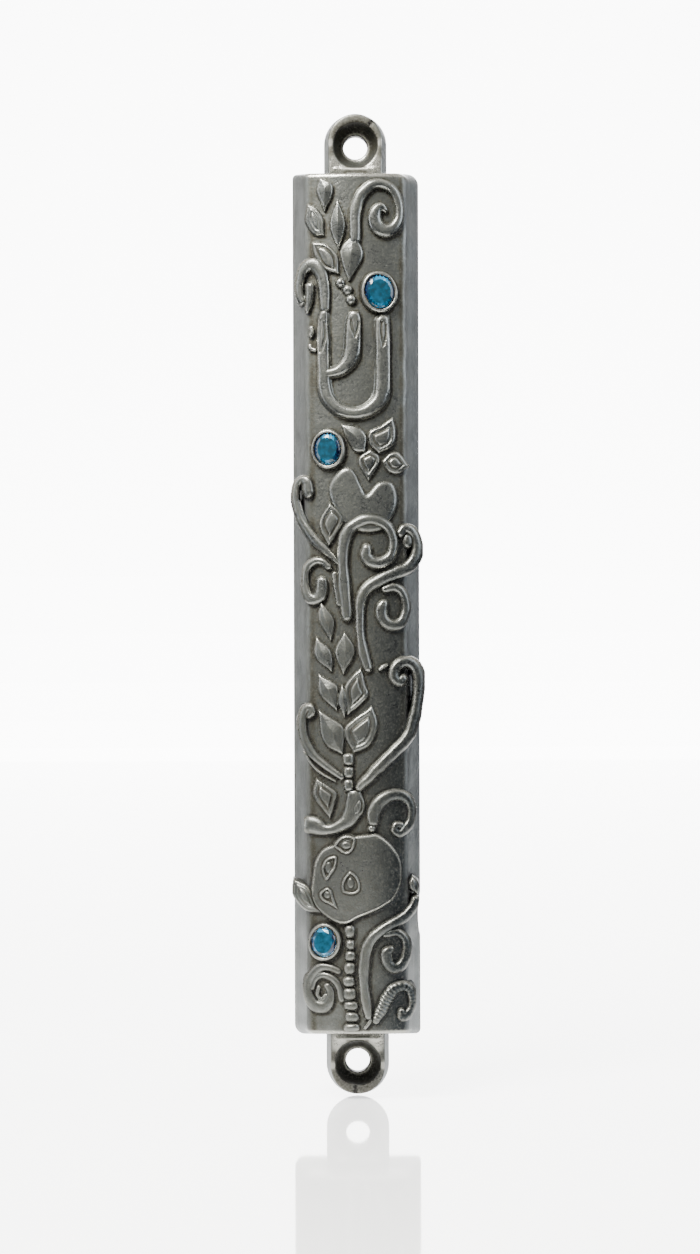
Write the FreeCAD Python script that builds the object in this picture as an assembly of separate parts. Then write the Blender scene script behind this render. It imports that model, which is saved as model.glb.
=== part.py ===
"""Mezuzah case: a cast pewter case 152 mm tall with a screw lug at each end, ornament in
relief, three set stones, a push-in back cover and a rolled parchment in a clear sleeve.

Millimetres. +Z is up, the front faces -Y, and y = 0 is the wall that the case is screwed to.
The origin is in that plane, midway between the two screw holes. One STEP is written per piece.
The case, its lugs, bezels and relief are one casting on the real object. Here the casting is
split where its features meet, so that each feature keeps its own name and none overlap.
"""

import FreeCAD
import Part
import math
import os

V = FreeCAD.Vector
UP = V(0, 0, 1)
FRONT = V(0, -1, 0)

# ---- case ----
CASE_HALF_HEIGHT = 66.65  # at the wall
FRONT_HALF_HEIGHT = 65.25  # at the front
CASE_HALF_WIDTH = 9.75  # at the wall
CASE_DEPTH = 11.0  # wall to the middle of the front
CROWN_R = 22.0  # the front is a slice of a cylinder
SIDE_DRAFT = math.radians(12.0)
SHOULDER_R = 1.2
END_CORNER_R = 1.2
END_CHAMFER = 0.45
WALL = 1.6
CAVITY_HALF_HEIGHT = 64.2

# ---- lugs ----
HOLE_Z = 70.5
ARCH_Z = 71.15  # centre of the lug's round end
LUG_R_WALL = 4.85  # outline at the wall, and at the lug's front face
LUG_R_FRONT = 4.1
LUG_ROOT_Z = 66.0  # where the lug grows out of the case's end
LUG_DEPTH = 5.0
HOLE_R = 1.85
HOLE_LENGTH = 2.2
SINK_R = 3.45
ROOT_BAR = (3.3, 0.25, 0.35)  # half width, height proud, width of the bar at the lug's root
ROOT_BAR_Z = 66.7

# ---- back cover ----
COVER_THICK = 1.2
COVER_SUNK = 0.1  # below the rim, so that the rim meets the wall first
REBATE_MARGIN = 0.65  # ledge that the cover sits on
REBATE_GAP = 0.08
FRAME_DEEP = 2.7  # the friction frame behind the plate
FRAME_THICK = 1.0
FRAME_GAP = 0.05
RIB_COUNT = 3
RIB = (1.0, 0.12)  # width, height of the cross ribs inside the cover
NOTCH_R = 4.0  # thumbnail notch in the rim
NOTCH_Z = -48.0
NOTCH_DEEP = 1.7

# ---- parchment and sleeve ----
SCROLL_LENGTH = 120.0
SHEET = 0.25
ROLL_PITCH = 0.30
ROLL_INNER_R = 1.3
ROLL_TURNS = 6.7
SLEEVE_R = 3.8
SLEEVE_WALL = 0.18
SLEEVE_OVERHANG = 1.2
ROLL_X = -2.3
ROLL_Y = -5.3

# ---- relief ----
RELIEF_BACK = -6.2  # relief that overhangs a side stops here
LINE_HIGH = 1.15  # vines and scrolls above the front
LEAF_HIGH = 0.9
HEART_HIGH = 0.75
FRUIT_HIGH = 1.25
SEED_HIGH = 0.45  # above the fruit
BEAD_HIGH = 0.95
SHIN_HIGH = 1.3
BRANCH_HIGH = 0.8
SMALLEST = 0.02  # cubic millimetres: crumbs left by a cut

# ---- stones: place on the front, and the stone's half width and half height ----
STONES = {
    "top": (3.45, 47.2, 2.25, 2.55),
    "middle": (-4.15, 23.4, 2.05, 2.4),
    "bottom": (-4.9, -51.3, 2.0, 2.3),
}
FACETS = 12
BEZEL_WALL_X = 0.5
BEZEL_WALL_Z = 0.62
BEZEL_HIGH = 1.15
STONE_GAP = 0.03
GLUE_LEVEL = 0.8
FOIL = 0.06
# levels of the stone above the front, with the share of its full width there
STONE_LEVELS = [(0.42, 0.62), (0.90, 1.0), (1.02, 1.0), (1.62, 0.66)]

# Relief lines: (across, up, width) along the middle of each.
LINES = {
    "shin": (SHIN_HIGH, [
        [(-0.25, 43.1, 2.4), (-0.25, 41.0, 2.6), (-0.4, 39.0, 2.5), (-0.9, 37.2, 2.3),
         (-1.8, 35.9, 1.8), (-3.0, 35.2, 1.4), (-4.3, 34.9, 1.2)],
        [(-4.95, 43.6, 1.4), (-5.0, 41.0, 1.7), (-5.0, 38.0, 1.75), (-4.95, 35.0, 1.85),
         (-4.85, 33.0, 1.9), (-4.3, 31.1, 1.8), (-3.0, 29.65, 1.6), (-1.4, 28.95, 1.5),
         (0.3, 28.85, 1.5), (2.0, 29.4, 1.7), (3.3, 30.6, 2.1), (4.1, 32.4, 2.3),
         (4.25, 35.0, 2.4), (4.2, 38.0, 2.4), (4.1, 41.0, 2.4), (4.05, 42.6, 2.2)],
    ]),
    "top_scroll": (LINE_HIGH, [
        [(-0.1, 55.4, 1.3), (-0.15, 57.5, 1.4), (-0.05, 59.5, 1.4), (0.35, 61.3, 1.3),
         (1.5, 62.9, 1.2), (3.2, 63.65, 1.1), (4.9, 63.3, 1.1), (6.2, 62.1, 1.05),
         (6.75, 60.2, 1.0), (6.6, 58.2, 1.1), (5.8, 56.95, 1.5), (4.5, 56.6, 1.7),
         (3.3, 57.2, 1.7), (2.75, 58.6, 1.5), (3.1, 59.8, 1.3), (3.9, 60.3, 1.0),
         (4.5, 59.9, 0.8)],
    ]),
    "left_scroll": (LINE_HIGH, [
        [(-4.8, 44.9, 1.3), (-4.8, 46.6, 1.4), (-4.9, 48.5, 1.5), (-5.3, 50.2, 1.7),
         (-6.3, 51.4, 1.8), (-7.4, 51.5, 1.6), (-8.3, 50.2, 1.3), (-8.7, 48.2, 1.1),
         (-8.6, 46.2, 1.0), (-8.0, 44.9, 1.1), (-7.2, 45.0, 1.2), (-6.95, 46.4, 1.3),
         (-7.05, 47.8, 1.2)],
    ]),
    "central_spiral": (LINE_HIGH, [
        [(-1.5, -1.9, 1.4), (-1.7, 0.0, 1.6), (-1.95, 3.0, 1.6), (-2.15, 6.0, 1.5),
         (-2.1, 8.5, 1.6), (-1.6, 10.6, 1.6), (-0.4, 12.0, 1.6), (1.4, 12.75, 1.6),
         (3.2, 12.6, 1.5), (4.7, 11.7, 1.35), (5.55, 10.1, 1.2), (5.65, 8.4, 1.2),
         (5.0, 6.9, 1.4), (3.7, 6.2, 1.5), (2.3, 6.3, 1.6), (1.4, 7.2, 1.7),
         (1.45, 8.2, 1.5)],
    ]),
    "left_vine": (LINE_HIGH, [
        [(-3.7, 7.2, 1.0), (-4.6, 8.0, 1.3), (-6.0, 9.3, 1.5), (-7.3, 10.9, 1.5),
         (-8.4, 12.7, 1.5), (-9.15, 14.7, 1.6), (-9.35, 16.6, 1.4), (-9.1, 18.1, 1.0),
         (-8.3, 18.95, 0.9), (-7.4, 18.3, 0.9), (-7.2, 17.0, 1.1)],
    ]),
    "right_vine": (LINE_HIGH, [
        [(1.7, -9.7, 1.2), (1.0, -7.5, 1.2), (0.55, -5.0, 1.1), (0.4, -2.5, 1.1),
         (0.5, 0.0, 1.2), (1.2, 1.9, 1.4), (2.6, 3.05, 1.5), (4.3, 3.95, 1.6),
         (6.1, 4.7, 1.6), (7.8, 5.5, 1.6), (9.0, 6.8, 1.5), (9.4, 8.4, 1.4),
         (9.2, 10.0, 1.3), (8.4, 11.2, 1.3), (7.4, 11.5, 1.2), (6.8, 10.9, 1.0)],
    ]),
    "small_spiral": (LINE_HIGH, [
        [(-4.3, 5.6, 0.7), (-5.2, 6.35, 0.8), (-6.3, 6.55, 0.9), (-7.3, 5.9, 0.9),
         (-7.85, 4.3, 0.8), (-7.9, 2.6, 0.9), (-7.4, 1.2, 1.2), (-6.4, 0.6, 1.4),
         (-5.6, 1.3, 1.6), (-5.35, 2.4, 1.6), (-5.3, 3.4, 1.4)],
    ]),
    "right_spiral": (LINE_HIGH, [
        [(4.3, 2.2, 0.8), (5.6, 2.5, 1.0), (6.8, 1.9, 1.1), (7.45, 0.6, 1.0),
         (7.55, -1.0, 1.0), (7.0, -2.6, 1.2), (5.8, -3.4, 1.4), (4.5, -3.0, 1.5),
         (3.8, -1.9, 1.6), (3.75, -0.8, 1.5), (4.0, -0.1, 1.2)],
    ]),
    "right_hook": (1.5, [
        [(0.5, -27.7, 1.3), (1.6, -26.5, 1.8), (3.2, -24.9, 2.0), (4.9, -23.2, 2.0),
         (6.5, -21.7, 2.0), (7.9, -19.9, 1.8), (8.7, -17.7, 1.6), (9.2, -15.4, 1.5),
         (9.6, -13.0, 1.75), (9.6, -11.0, 1.8), (8.9, -9.4, 1.8), (7.6, -8.75, 1.6),
         (6.3, -9.1, 1.6), (5.6, -10.2, 1.4), (5.7, -11.5, 1.3), (6.6, -12.2, 1.2)],
    ]),
    "left_hook": (LINE_HIGH, [
        [(-2.5, -26.6, 1.0), (-4.0, -25.6, 1.3), (-5.6, -24.4, 1.5), (-6.9, -23.0, 1.6),
         (-7.9, -21.2, 1.5), (-8.4, -19.2, 1.4), (-8.45, -17.3, 1.1), (-8.0, -15.8, 0.95),
         (-7.1, -15.6, 0.85), (-6.75, -16.6, 1.0)],
    ]),
    "calyx_scroll": (LINE_HIGH, [
        [(2.4, -33.0, 1.4), (2.5, -31.7, 1.7), (3.3, -30.2, 1.8), (4.7, -29.2, 1.7),
         (6.4, -28.95, 1.5), (7.8, -29.7, 1.2), (8.4, -31.2, 0.95), (8.3, -32.8, 0.9),
         (7.5, -34.1, 1.2), (6.5, -34.5, 1.6)],
    ]),
    "lower_vine": (LINE_HIGH, [
        [(8.9, -45.0, 1.0), (8.5, -46.2, 1.3), (7.2, -47.5, 1.4), (5.5, -48.5, 1.4),
         (3.7, -49.5, 1.4), (2.2, -50.8, 1.4), (1.3, -52.6, 1.5), (0.95, -54.6, 1.5),
         (0.85, -56.8, 1.4), (1.0, -59.0, 1.3), (1.35, -61.0, 1.2), (1.6, -62.4, 1.0)],
    ]),
    "lower_spiral": (LINE_HIGH, [
        [(4.5, -50.1, 0.8), (5.9, -49.9, 0.9), (7.1, -50.6, 1.0), (7.6, -52.0, 1.0),
         (7.4, -53.7, 1.1), (6.7, -55.0, 1.3), (5.6, -55.5, 1.5), (4.7, -54.9, 1.5),
         (4.4, -53.8, 1.5), (4.6, -52.8, 1.3)],
    ]),
    "ribbed_scroll": (LINE_HIGH, [
        [(2.9, -62.8, 1.2), (3.6, -61.5, 1.5), (4.4, -60.0, 1.7), (5.4, -58.6, 1.7),
         (6.8, -57.95, 1.5), (7.9, -58.5, 1.2), (8.35, -59.9, 0.9), (8.3, -61.3, 0.9),
         (7.7, -62.4, 1.1), (6.9, -62.6, 1.4)],
    ]),
    "bottom_scroll": (LINE_HIGH, [
        [(-2.5, -60.0, 0.8), (-2.9, -58.2, 1.0), (-3.9, -56.5, 1.3), (-5.2, -55.7, 1.4),
         (-6.5, -56.1, 1.3), (-7.3, -57.8, 1.1), (-7.4, -59.6, 1.0), (-6.6, -61.1, 1.2),
         (-5.2, -61.4, 1.4), (-4.1, -60.5, 1.5), (-4.0, -59.4, 1.2)],
    ]),
    "branch": (BRANCH_HIGH, [
        [(-6.9, -33.6, 2.6), (-5.9, -33.7, 2.5), (-4.6, -34.1, 1.4), (-3.0, -33.9, 1.4),
         (-1.6, -33.0, 1.8), (-0.6, -31.5, 2.4), (-0.4, -30.0, 2.6)],
    ]),
}

# Leaves: tip, points down the right side, base, points up the left side.
LEAVES = {
    "top_leaves": [
        ((-5.4, 64.5), [(-3.9, 63.8), (-3.65, 62.3)], (-4.7, 59.6), [(-5.75, 62.6)]),
        ((-7.3, 60.6), [(-5.4, 58.8)], (-4.9, 56.0), [(-6.5, 56.3), (-7.5, 58.2)]),
        ((-2.75, 61.2), [(-1.5, 57.5)], (-2.6, 53.9), [(-3.9, 57.5)]),
        ((-6.5, 54.7), [(-4.3, 54.2), (-3.0, 52.6)], (-2.7, 50.1), [(-4.7, 50.8), (-6.0, 52.7)]),
        ((-0.35, 56.0), [(0.9, 53.0)], (-1.0, 49.1), [(-2.2, 53.2)]),
    ],
    "flower_leaves": [
        ((-2.1, 26.9), [(0.2, 26.5), (1.35, 25.0)], (1.2, 23.1), [(-0.2, 23.5), (-1.1, 24.8)]),
        ((5.5, 28.1), [(5.9, 26.0), (5.3, 24.0)], (3.5, 22.9), [(2.2, 24.3), (2.1, 25.9), (3.8, 26.8)]),
        ((2.15, 23.2), [(3.4, 21.8)], (1.8, 18.8), [(0.5, 21.8)]),
        ((7.9, 20.9), [(6.4, 19.9), (4.9, 20.2)], (4.1, 21.6), [(5.2, 22.6), (6.5, 22.6)]),
    ],
    "heart_leaf": [
        ((-4.1, 15.1), [(-2.6, 13.7), (-2.2, 12.2)], (-4.2, 8.9), [(-5.5, 12.0)]),
    ],
    "sprig_leaves": [
        ((-5.4, -0.1), [(-4.0, -1.6), (-3.6, -3.0)], (-4.0, -5.4), [(-5.7, -2.4)]),
        ((-6.1, -5.2), [(-4.3, -7.0), (-3.9, -8.5)], (-3.8, -10.2), [(-6.2, -8.0)]),
        ((-1.9, -4.4), [(-0.4, -7.2)], (-2.1, -10.5), [(-3.1, -7.4)]),
        ((-5.7, -10.9), [(-3.4, -12.3), (-3.1, -13.8)], (-3.0, -16.1), [(-5.5, -13.7)]),
        ((0.6, -9.9), [(1.0, -12.0), (1.5, -14.1)], (-1.4, -16.7), [(-1.7, -13.4), (-1.0, -11.6)]),
        ((-5.7, -16.3), [(-2.7, -18.4), (-2.1, -20.3)], (-2.2, -22.7), [(-4.4, -21.5), (-5.4, -19.4)]),
        ((2.2, -15.7), [(2.95, -18.5), (1.7, -21.5)], (-0.5, -22.5), [(-1.8, -19.4), (-0.3, -17.6)]),
    ],
    "branch_leaves": [
        ((-6.2, -26.7), [(-3.5, -28.5), (-3.5, -30.2)], (-4.2, -32.4), [(-6.45, -29.2)]),
        ((0.5, -28.9), [(1.0, -30.5), (0.6, -31.9)], (-0.8, -32.7), [(-0.9, -30.6)]),
    ],
    "side_leaf": [
        ((-9.7, -41.9), [(-7.3, -43.2)], (-5.6, -46.9), [(-8.0, -46.4), (-9.8, -44.4)]),
    ],
    "vine_bud": [
        ((8.3, -41.6), [(8.95, -42.7)], (9.3, -44.2), [(8.1, -43.1)]),
    ],
}

# Round outlines, as points of a closed curve.
HEART = [(-1.4, 20.5), (-0.4, 19.5), (0.4, 18.0), (1.3, 16.8), (2.7, 17.7), (4.4, 18.6),
         (5.9, 17.5), (6.3, 15.6), (5.9, 13.6), (4.6, 11.9), (1.6, 10.6), (-1.6, 11.6),
         (-3.3, 13.9), (-4.0, 16.3), (-3.4, 19.1)]
FRUIT = [(1.8, -34.9), (3.2, -35.0), (4.9, -36.4), (6.2, -38.2), (6.7, -40.6), (6.4, -42.8),
         (5.2, -45.0), (3.0, -46.4), (0.2, -47.6), (-1.6, -48.5), (-3.2, -48.4),
         (-5.2, -47.1), (-6.6, -45.6), (-7.0, -43.6), (-6.7, -41.0), (-6.3, -38.9),
         (-5.2, -37.2), (-3.2, -36.3), (-0.6, -35.2)]
# Seeds on the fruit, and beads: centre, half width, half height.
SEEDS = [(-1.6, -36.9, 1.35, 1.3), (-4.2, -40.1, 1.25, 1.6), (-0.95, -42.3, 1.45, 1.65),
         (-4.4, -44.5, 1.35, 1.5)]
BEAD_TRIO = [(-2.4, 48.65, 0.6, 0.6), (-1.3, 47.55, 0.65, 0.65), (-0.75, 46.1, 0.65, 0.65)]
STEM_BARRELS = [(-1.35, -23.5, 0.72, 0.85), (-1.3, -25.55, 0.72, 0.8), (-1.3, -27.6, 0.7, 0.85)]
BEAD_COLUMN = [(-1.15, -49.7, 0.55, 0.9), (-1.1, -51.6, 0.6, 0.75), (-1.1, -53.4, 0.65, 0.7),
               (-1.2, -55.3, 0.65, 0.9), (-1.3, -57.3, 0.75, 0.75), (-1.3, -59.2, 0.85, 0.9),
               (-1.1, -61.0, 0.95, 0.65), (-0.9, -62.8, 0.95, 0.6), (-1.0, -64.3, 1.0, 0.5)]
CALYX_BEAD = [(2.2, -34.15, 0.5, 0.5)]
VINE_BUD_RING = [(7.85, 9.6, 0.65, 0.95)]

CROWN_CENTRE = CROWN_R - CASE_DEPTH


def crown(x, high=0.0):
    """The y of the front, or of a surface standing that high above it, at a place across it."""
    return CROWN_CENTRE - math.sqrt((CROWN_R + high) ** 2 - x * x)


def section_face(half_width, depth, crown_r, shoulder_r):
    """The case's outline seen from above: wall side, drafted sides, round shoulders, crowned front."""
    c, s = math.cos(SIDE_DRAFT), math.sin(SIDE_DRAFT)
    centre = crown_r - depth
    side = half_width * c - shoulder_r  # the shoulder's centre lies on this line beside the wall
    # fx = (side + s*fy) / c, at a distance crown_r - shoulder_r from the crown's centre
    a = 1 + (s / c) ** 2
    b = 2 * side * s / c**2 - 2 * centre
    k = (side / c) ** 2 + centre**2 - (crown_r - shoulder_r) ** 2
    fy = (-b - math.sqrt(b * b - 4 * a * k)) / (2 * a)
    fx = (side + s * fy) / c
    reach = crown_r / (crown_r - shoulder_r)
    on_crown = V(fx * reach, centre + (fy - centre) * reach, 0)
    on_side = V(fx + shoulder_r * c, fy - shoulder_r * s, 0)
    turn = (math.atan2(on_crown.y - fy, on_crown.x - fx) - SIDE_DRAFT) / 2
    middle = V(fx + shoulder_r * math.cos(turn), fy + shoulder_r * math.sin(turn), 0)

    def left(p):
        return V(-p.x, p.y, 0)

    corner = V(half_width, 0, 0)
    edges = [
        Part.LineSegment(left(corner), corner).toShape(),
        Part.LineSegment(corner, on_side).toShape(),
        Part.Arc(on_side, middle, on_crown).toShape(),
        Part.Arc(on_crown, V(0, -depth, 0), left(on_crown)).toShape(),
        Part.Arc(left(on_crown), left(middle), left(on_side)).toShape(),
        Part.LineSegment(left(on_side), left(corner)).toShape(),
    ]
    return Part.Face(Part.Wire(edges))


def prism(face, low, high):
    """A section standing between two heights."""
    lifted = face.copy()
    lifted.translate(V(0, 0, low))
    return lifted.extrude(V(0, 0, high - low))


def box(x0, x1, y0, y1, z0, z1):
    return Part.makeBox(x1 - x0, y1 - y0, z1 - z0, V(x0, y0, z0))


def front_outline(points, closed=False):
    """A smooth curve through places on the front, drawn in the plane y = 0."""
    curve = Part.BSplineCurve()
    curve.interpolate([V(x, 0, z) for x, z in points], PeriodicFlag=closed)
    return curve.toShape()


def case_outer():
    """The case before it is hollowed: its section, with the corners of its front view rounded."""
    solid = prism(section_face(CASE_HALF_WIDTH, CASE_DEPTH, CROWN_R, SHOULDER_R),
                  -CASE_HALF_HEIGHT, CASE_HALF_HEIGHT)
    slope = (CASE_HALF_HEIGHT - FRONT_HALF_HEIGHT) / CASE_DEPTH
    near, far = 2 * CASE_DEPTH, 1.0
    low, high = CASE_HALF_HEIGHT - near * slope, CASE_HALF_HEIGHT + far * slope
    corners = [V(-CASE_HALF_WIDTH, far, -high), V(-CASE_HALF_WIDTH, far, high),
               V(-CASE_HALF_WIDTH, -near, low), V(-CASE_HALF_WIDTH, -near, -low)]
    side = Part.Face(Part.makePolygon(corners + corners[:1]))
    blank = side.extrude(V(2 * CASE_HALF_WIDTH, 0, 0))
    upright = [e for e in blank.Edges if e.BoundBox.YLength > CASE_DEPTH]
    solid = solid.common(blank.makeFillet(END_CORNER_R, upright))
    ends = [e for e in solid.Edges
            if e.BoundBox.ZLength < 0.5 and e.BoundBox.YMax < -CASE_DEPTH * 0.8]
    return solid.makeChamfer(END_CHAMFER, ends)


def cavity_face(margin):
    """The section of the hollow, or of something that stands a margin inside its walls."""
    inset = WALL + margin
    return section_face(CASE_HALF_WIDTH - inset / math.cos(SIDE_DRAFT), CASE_DEPTH - inset,
                        CROWN_R - inset, 0.5)


def rebate(gap):
    """The block that the cover's plate fills, or with a gap the plate itself."""
    half_x = CASE_HALF_WIDTH - WALL / math.cos(SIDE_DRAFT) + REBATE_MARGIN - gap
    half_z = CAVITY_HALF_HEIGHT + REBATE_MARGIN - gap
    seat = COVER_THICK + COVER_SUNK
    top = -COVER_SUNK if gap else 0.0
    block = box(-half_x, half_x, -seat, top, -half_z, half_z)
    upright = [e for e in block.Edges if abs(e.tangentAt(e.FirstParameter).y) > 0.9]
    return block.makeFillet(END_CORNER_R - WALL / 2, upright)


def case_shell(outer):
    """The hollow casting, open at the wall, with the cover's ledge and a thumbnail notch."""
    inner_z = CAVITY_HALF_HEIGHT
    shell = outer.cut(prism(cavity_face(0.0), -inner_z, inner_z)).cut(rebate(0.0))
    notch = Part.makeCylinder(NOTCH_R, CASE_HALF_WIDTH, V(CASE_HALF_WIDTH - WALL, NOTCH_R - NOTCH_DEEP, NOTCH_Z),
                              V(1, 0, 0))
    return shell.cut(notch)


def back_cover():
    """The moulded cover: a plate on the ledge, a frame that grips the walls, and cross ribs."""
    plate = rebate(REBATE_GAP)
    seat = -(COVER_THICK + COVER_SUNK)
    inner_z = CAVITY_HALF_HEIGHT
    layer = box(-CASE_HALF_WIDTH, CASE_HALF_WIDTH, seat - FRAME_DEEP, seat, -inner_z, inner_z)
    outside = prism(cavity_face(FRAME_GAP), FRAME_GAP - inner_z, inner_z - FRAME_GAP)
    inside = prism(cavity_face(FRAME_GAP + FRAME_THICK), FRAME_GAP + FRAME_THICK - inner_z,
                   inner_z - FRAME_GAP - FRAME_THICK)
    cover = plate.fuse(outside.cut(inside).common(layer))
    wide, high = RIB
    for i in range(RIB_COUNT):
        z = (i - (RIB_COUNT - 1) / 2) * SCROLL_LENGTH / RIB_COUNT
        reach = CASE_HALF_WIDTH - 2 * WALL
        cover = cover.fuse(box(-reach, reach, seat - high, seat, z - wide / 2, z + wide / 2))
    return cover.removeSplitter()


def lug(outer, sign):
    """A drafted tab with a round end, a countersunk screw hole and a bar across its root."""
    def outline(r, y):
        base = LUG_ROOT_Z - 2.0  # inside the case, where the tab is cut off
        corners = [V(-r, y, base), V(-r, y, ARCH_Z), V(0, y, ARCH_Z + r), V(r, y, ARCH_Z), V(r, y, base)]
        return Part.Wire([
            Part.LineSegment(corners[0], corners[1]).toShape(),
            Part.Arc(corners[1], corners[2], corners[3]).toShape(),
            Part.LineSegment(corners[3], corners[4]).toShape(),
            Part.LineSegment(corners[4], corners[0]).toShape(),
        ])

    tab = Part.makeLoft([outline(LUG_R_WALL, 0.0), outline(LUG_R_FRONT, -LUG_DEPTH)], True, True)
    half, proud, wide = ROOT_BAR
    tab = tab.fuse(box(-half, half, -LUG_DEPTH - proud, -LUG_DEPTH,
                       ROOT_BAR_Z - wide / 2, ROOT_BAR_Z + wide / 2))
    hole = Part.makeCylinder(HOLE_R, LUG_DEPTH * 2, V(0, LUG_DEPTH, HOLE_Z), FRONT)
    sink = Part.makeCone(HOLE_R, SINK_R, LUG_DEPTH - HOLE_LENGTH, V(0, -HOLE_LENGTH, HOLE_Z), FRONT)
    mouth = Part.makeCylinder(SINK_R, LUG_DEPTH, V(0, -LUG_DEPTH, HOLE_Z), FRONT)
    tab = tab.cut(hole).cut(sink).cut(mouth).cut(outer)
    return tab if sign > 0 else tab.mirror(V(0, 0, 0), UP)


def parchment():
    """A sheet rolled into a spiral, and stood upright."""
    def turn_points(offset):
        steps = round(ROLL_TURNS * 18)
        points = []
        for i in range(steps + 1):
            turns = ROLL_TURNS * i / steps
            r = ROLL_INNER_R + ROLL_PITCH * turns + offset
            a = 2 * math.pi * turns
            points.append(V(ROLL_X + r * math.cos(a), ROLL_Y + r * math.sin(a), 0))
        return points

    inner, outer = turn_points(0.0), turn_points(SHEET)
    curves = []
    for points in (inner, outer):
        curve = Part.BSplineCurve()
        curve.interpolate(points)
        curves.append(curve.toShape())
    ends = [Part.LineSegment(inner[i], outer[i]).toShape() for i in (0, -1)]
    face = Part.Face(Part.Wire([curves[0], ends[1], curves[1], ends[0]]))
    return prism(face, -SCROLL_LENGTH / 2, SCROLL_LENGTH / 2)


def sleeve():
    """A clear film tube round the roll."""
    half = SCROLL_LENGTH / 2 + SLEEVE_OVERHANG
    start = V(ROLL_X, ROLL_Y, -half)
    return Part.makeCylinder(SLEEVE_R, 2 * half, start, UP).cut(
        Part.makeCylinder(SLEEVE_R - SLEEVE_WALL, 2 * half, start, UP))


def raised(face, high, outer):
    """An outline standing up to a height above the crowned front, and cut off where the case begins."""
    face = face.copy()
    face.translate(V(0, RELIEF_BACK, 0))
    block = face.extrude(V(0, -CASE_DEPTH, 0))
    roof = Part.makeCylinder(CROWN_R + high, 2 * CASE_HALF_HEIGHT, V(0, CROWN_CENTRE, -CASE_HALF_HEIGHT), UP)
    return block.common(roof).cut(outer)


def line_face(points):
    """The outline of a line of varying width, with a round end at each end."""
    curve = Part.BSplineCurve()
    curve.interpolate([V(x, w, z) for x, z, w in points])  # y carries the width along the line
    count = 5 * len(points)
    first, last = curve.FirstParameter, curve.LastParameter
    left, right, tips = [], [], []
    for i in range(count + 1):
        t = first + (last - first) * i / count
        p, d = curve.value(t), curve.tangent(t)[0]
        along = V(d.x, 0, d.z).normalize()
        across = V(-along.z, 0, along.x)
        place = V(p.x, 0, p.z)
        left.append(place + across * (p.y / 2))
        right.append(place - across * (p.y / 2))
        if i in (0, count):
            tips.append(place + along * (p.y / 2 if i else -p.y / 2))
    edges = []
    for side in (left, right):
        rail = Part.BSplineCurve()
        rail.interpolate(side)
        edges.append(rail.toShape())
    start = Part.Arc(left[0], tips[0], right[0]).toShape()
    end = Part.Arc(left[-1], tips[1], right[-1]).toShape()
    return Part.Face(Part.Wire([edges[0], end, edges[1], start]))


def leaf_face(tip, right, base, left):
    """A leaf with two sharp ends."""
    return Part.Face(Part.Wire([front_outline([tip, *right, base]), front_outline([base, *left, tip])]))


def oval_face(x, z, half_x, half_z):
    """An oval with its axes across and up."""
    if abs(half_x - half_z) < 1e-6:
        edge = Part.Circle(V(x, 0, z), V(0, 1, 0), half_x).toShape()
    elif half_x > half_z:
        edge = Part.Ellipse(V(x + half_x, 0, z), V(x, 0, z + half_z), V(x, 0, z)).toShape()
    else:
        edge = Part.Ellipse(V(x, 0, z + half_z), V(x + half_x, 0, z), V(x, 0, z)).toShape()
    return Part.Face(Part.Wire([edge]))


def blob_face(points):
    return Part.Face(Part.Wire([front_outline(points, closed=True)]))


def on_front(shape, x, z):
    """Turns a shape made about the origin, facing -Y, to stand square on the front at a place."""
    lean = math.degrees(math.asin(x / CROWN_R))
    shape.rotate(V(0, 0, 0), UP, lean)
    shape.translate(V(x, crown(x), z))
    return shape


def oval_block(half_x, half_z, low, high):
    """An oval plug between two levels above the front."""
    face = oval_face(0, 0, half_x, half_z)
    face.translate(V(0, -low, 0))
    return face.extrude(V(0, low - high, 0))


def faceted(half_x, half_z, levels):
    """A solid of flat facets through rings of corners, each (level, share of the full size)."""
    rings = []
    for level, share in levels:
        ring = []
        for i in range(FACETS):
            a = 2 * math.pi * (i + 0.5) / FACETS
            ring.append(V(half_x * share * math.cos(a), -level, half_z * share * math.sin(a)))
        rings.append(ring)

    def facet(corners):
        return Part.Face(Part.makePolygon(corners + corners[:1]))

    faces = [facet(rings[0]), facet(rings[-1])]
    for low, high in zip(rings, rings[1:]):
        for i in range(FACETS):
            j = (i + 1) % FACETS
            faces.append(facet([low[i], low[j], high[j], high[i]]))
    return Part.Solid(Part.makeShell(faces))


def stone_set(x, z, half_x, half_z, outer):
    """A bezel, the glue and foil in it, and the faceted stone, bottom first."""
    deep = -WALL / 2
    ring = oval_block(half_x + BEZEL_WALL_X, half_z + BEZEL_WALL_Z, deep, BEZEL_HIGH).cut(
        oval_block(half_x + STONE_GAP, half_z + STONE_GAP, deep, BEZEL_HIGH))
    stone = faceted(half_x, half_z, STONE_LEVELS)
    (back, share), girdle = STONE_LEVELS[0], STONE_LEVELS[1]
    cup_levels = [(back - FOIL, share), (girdle[0] - FOIL, girdle[1])]
    cup = faceted(half_x, half_z, cup_levels).cut(faceted(half_x, half_z, STONE_LEVELS))
    glue = oval_block(half_x, half_z, deep, GLUE_LEVEL).cut(
        faceted(half_x, half_z, cup_levels)).cut(faceted(half_x, half_z, STONE_LEVELS))
    placed = [on_front(shape, x, z) for shape in (ring, stone, cup, glue)]
    ring, stone, cup, glue = placed
    return {"bezel": ring.cut(outer), "stone": stone, "foil": cup, "glue": glue.cut(outer)}


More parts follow.
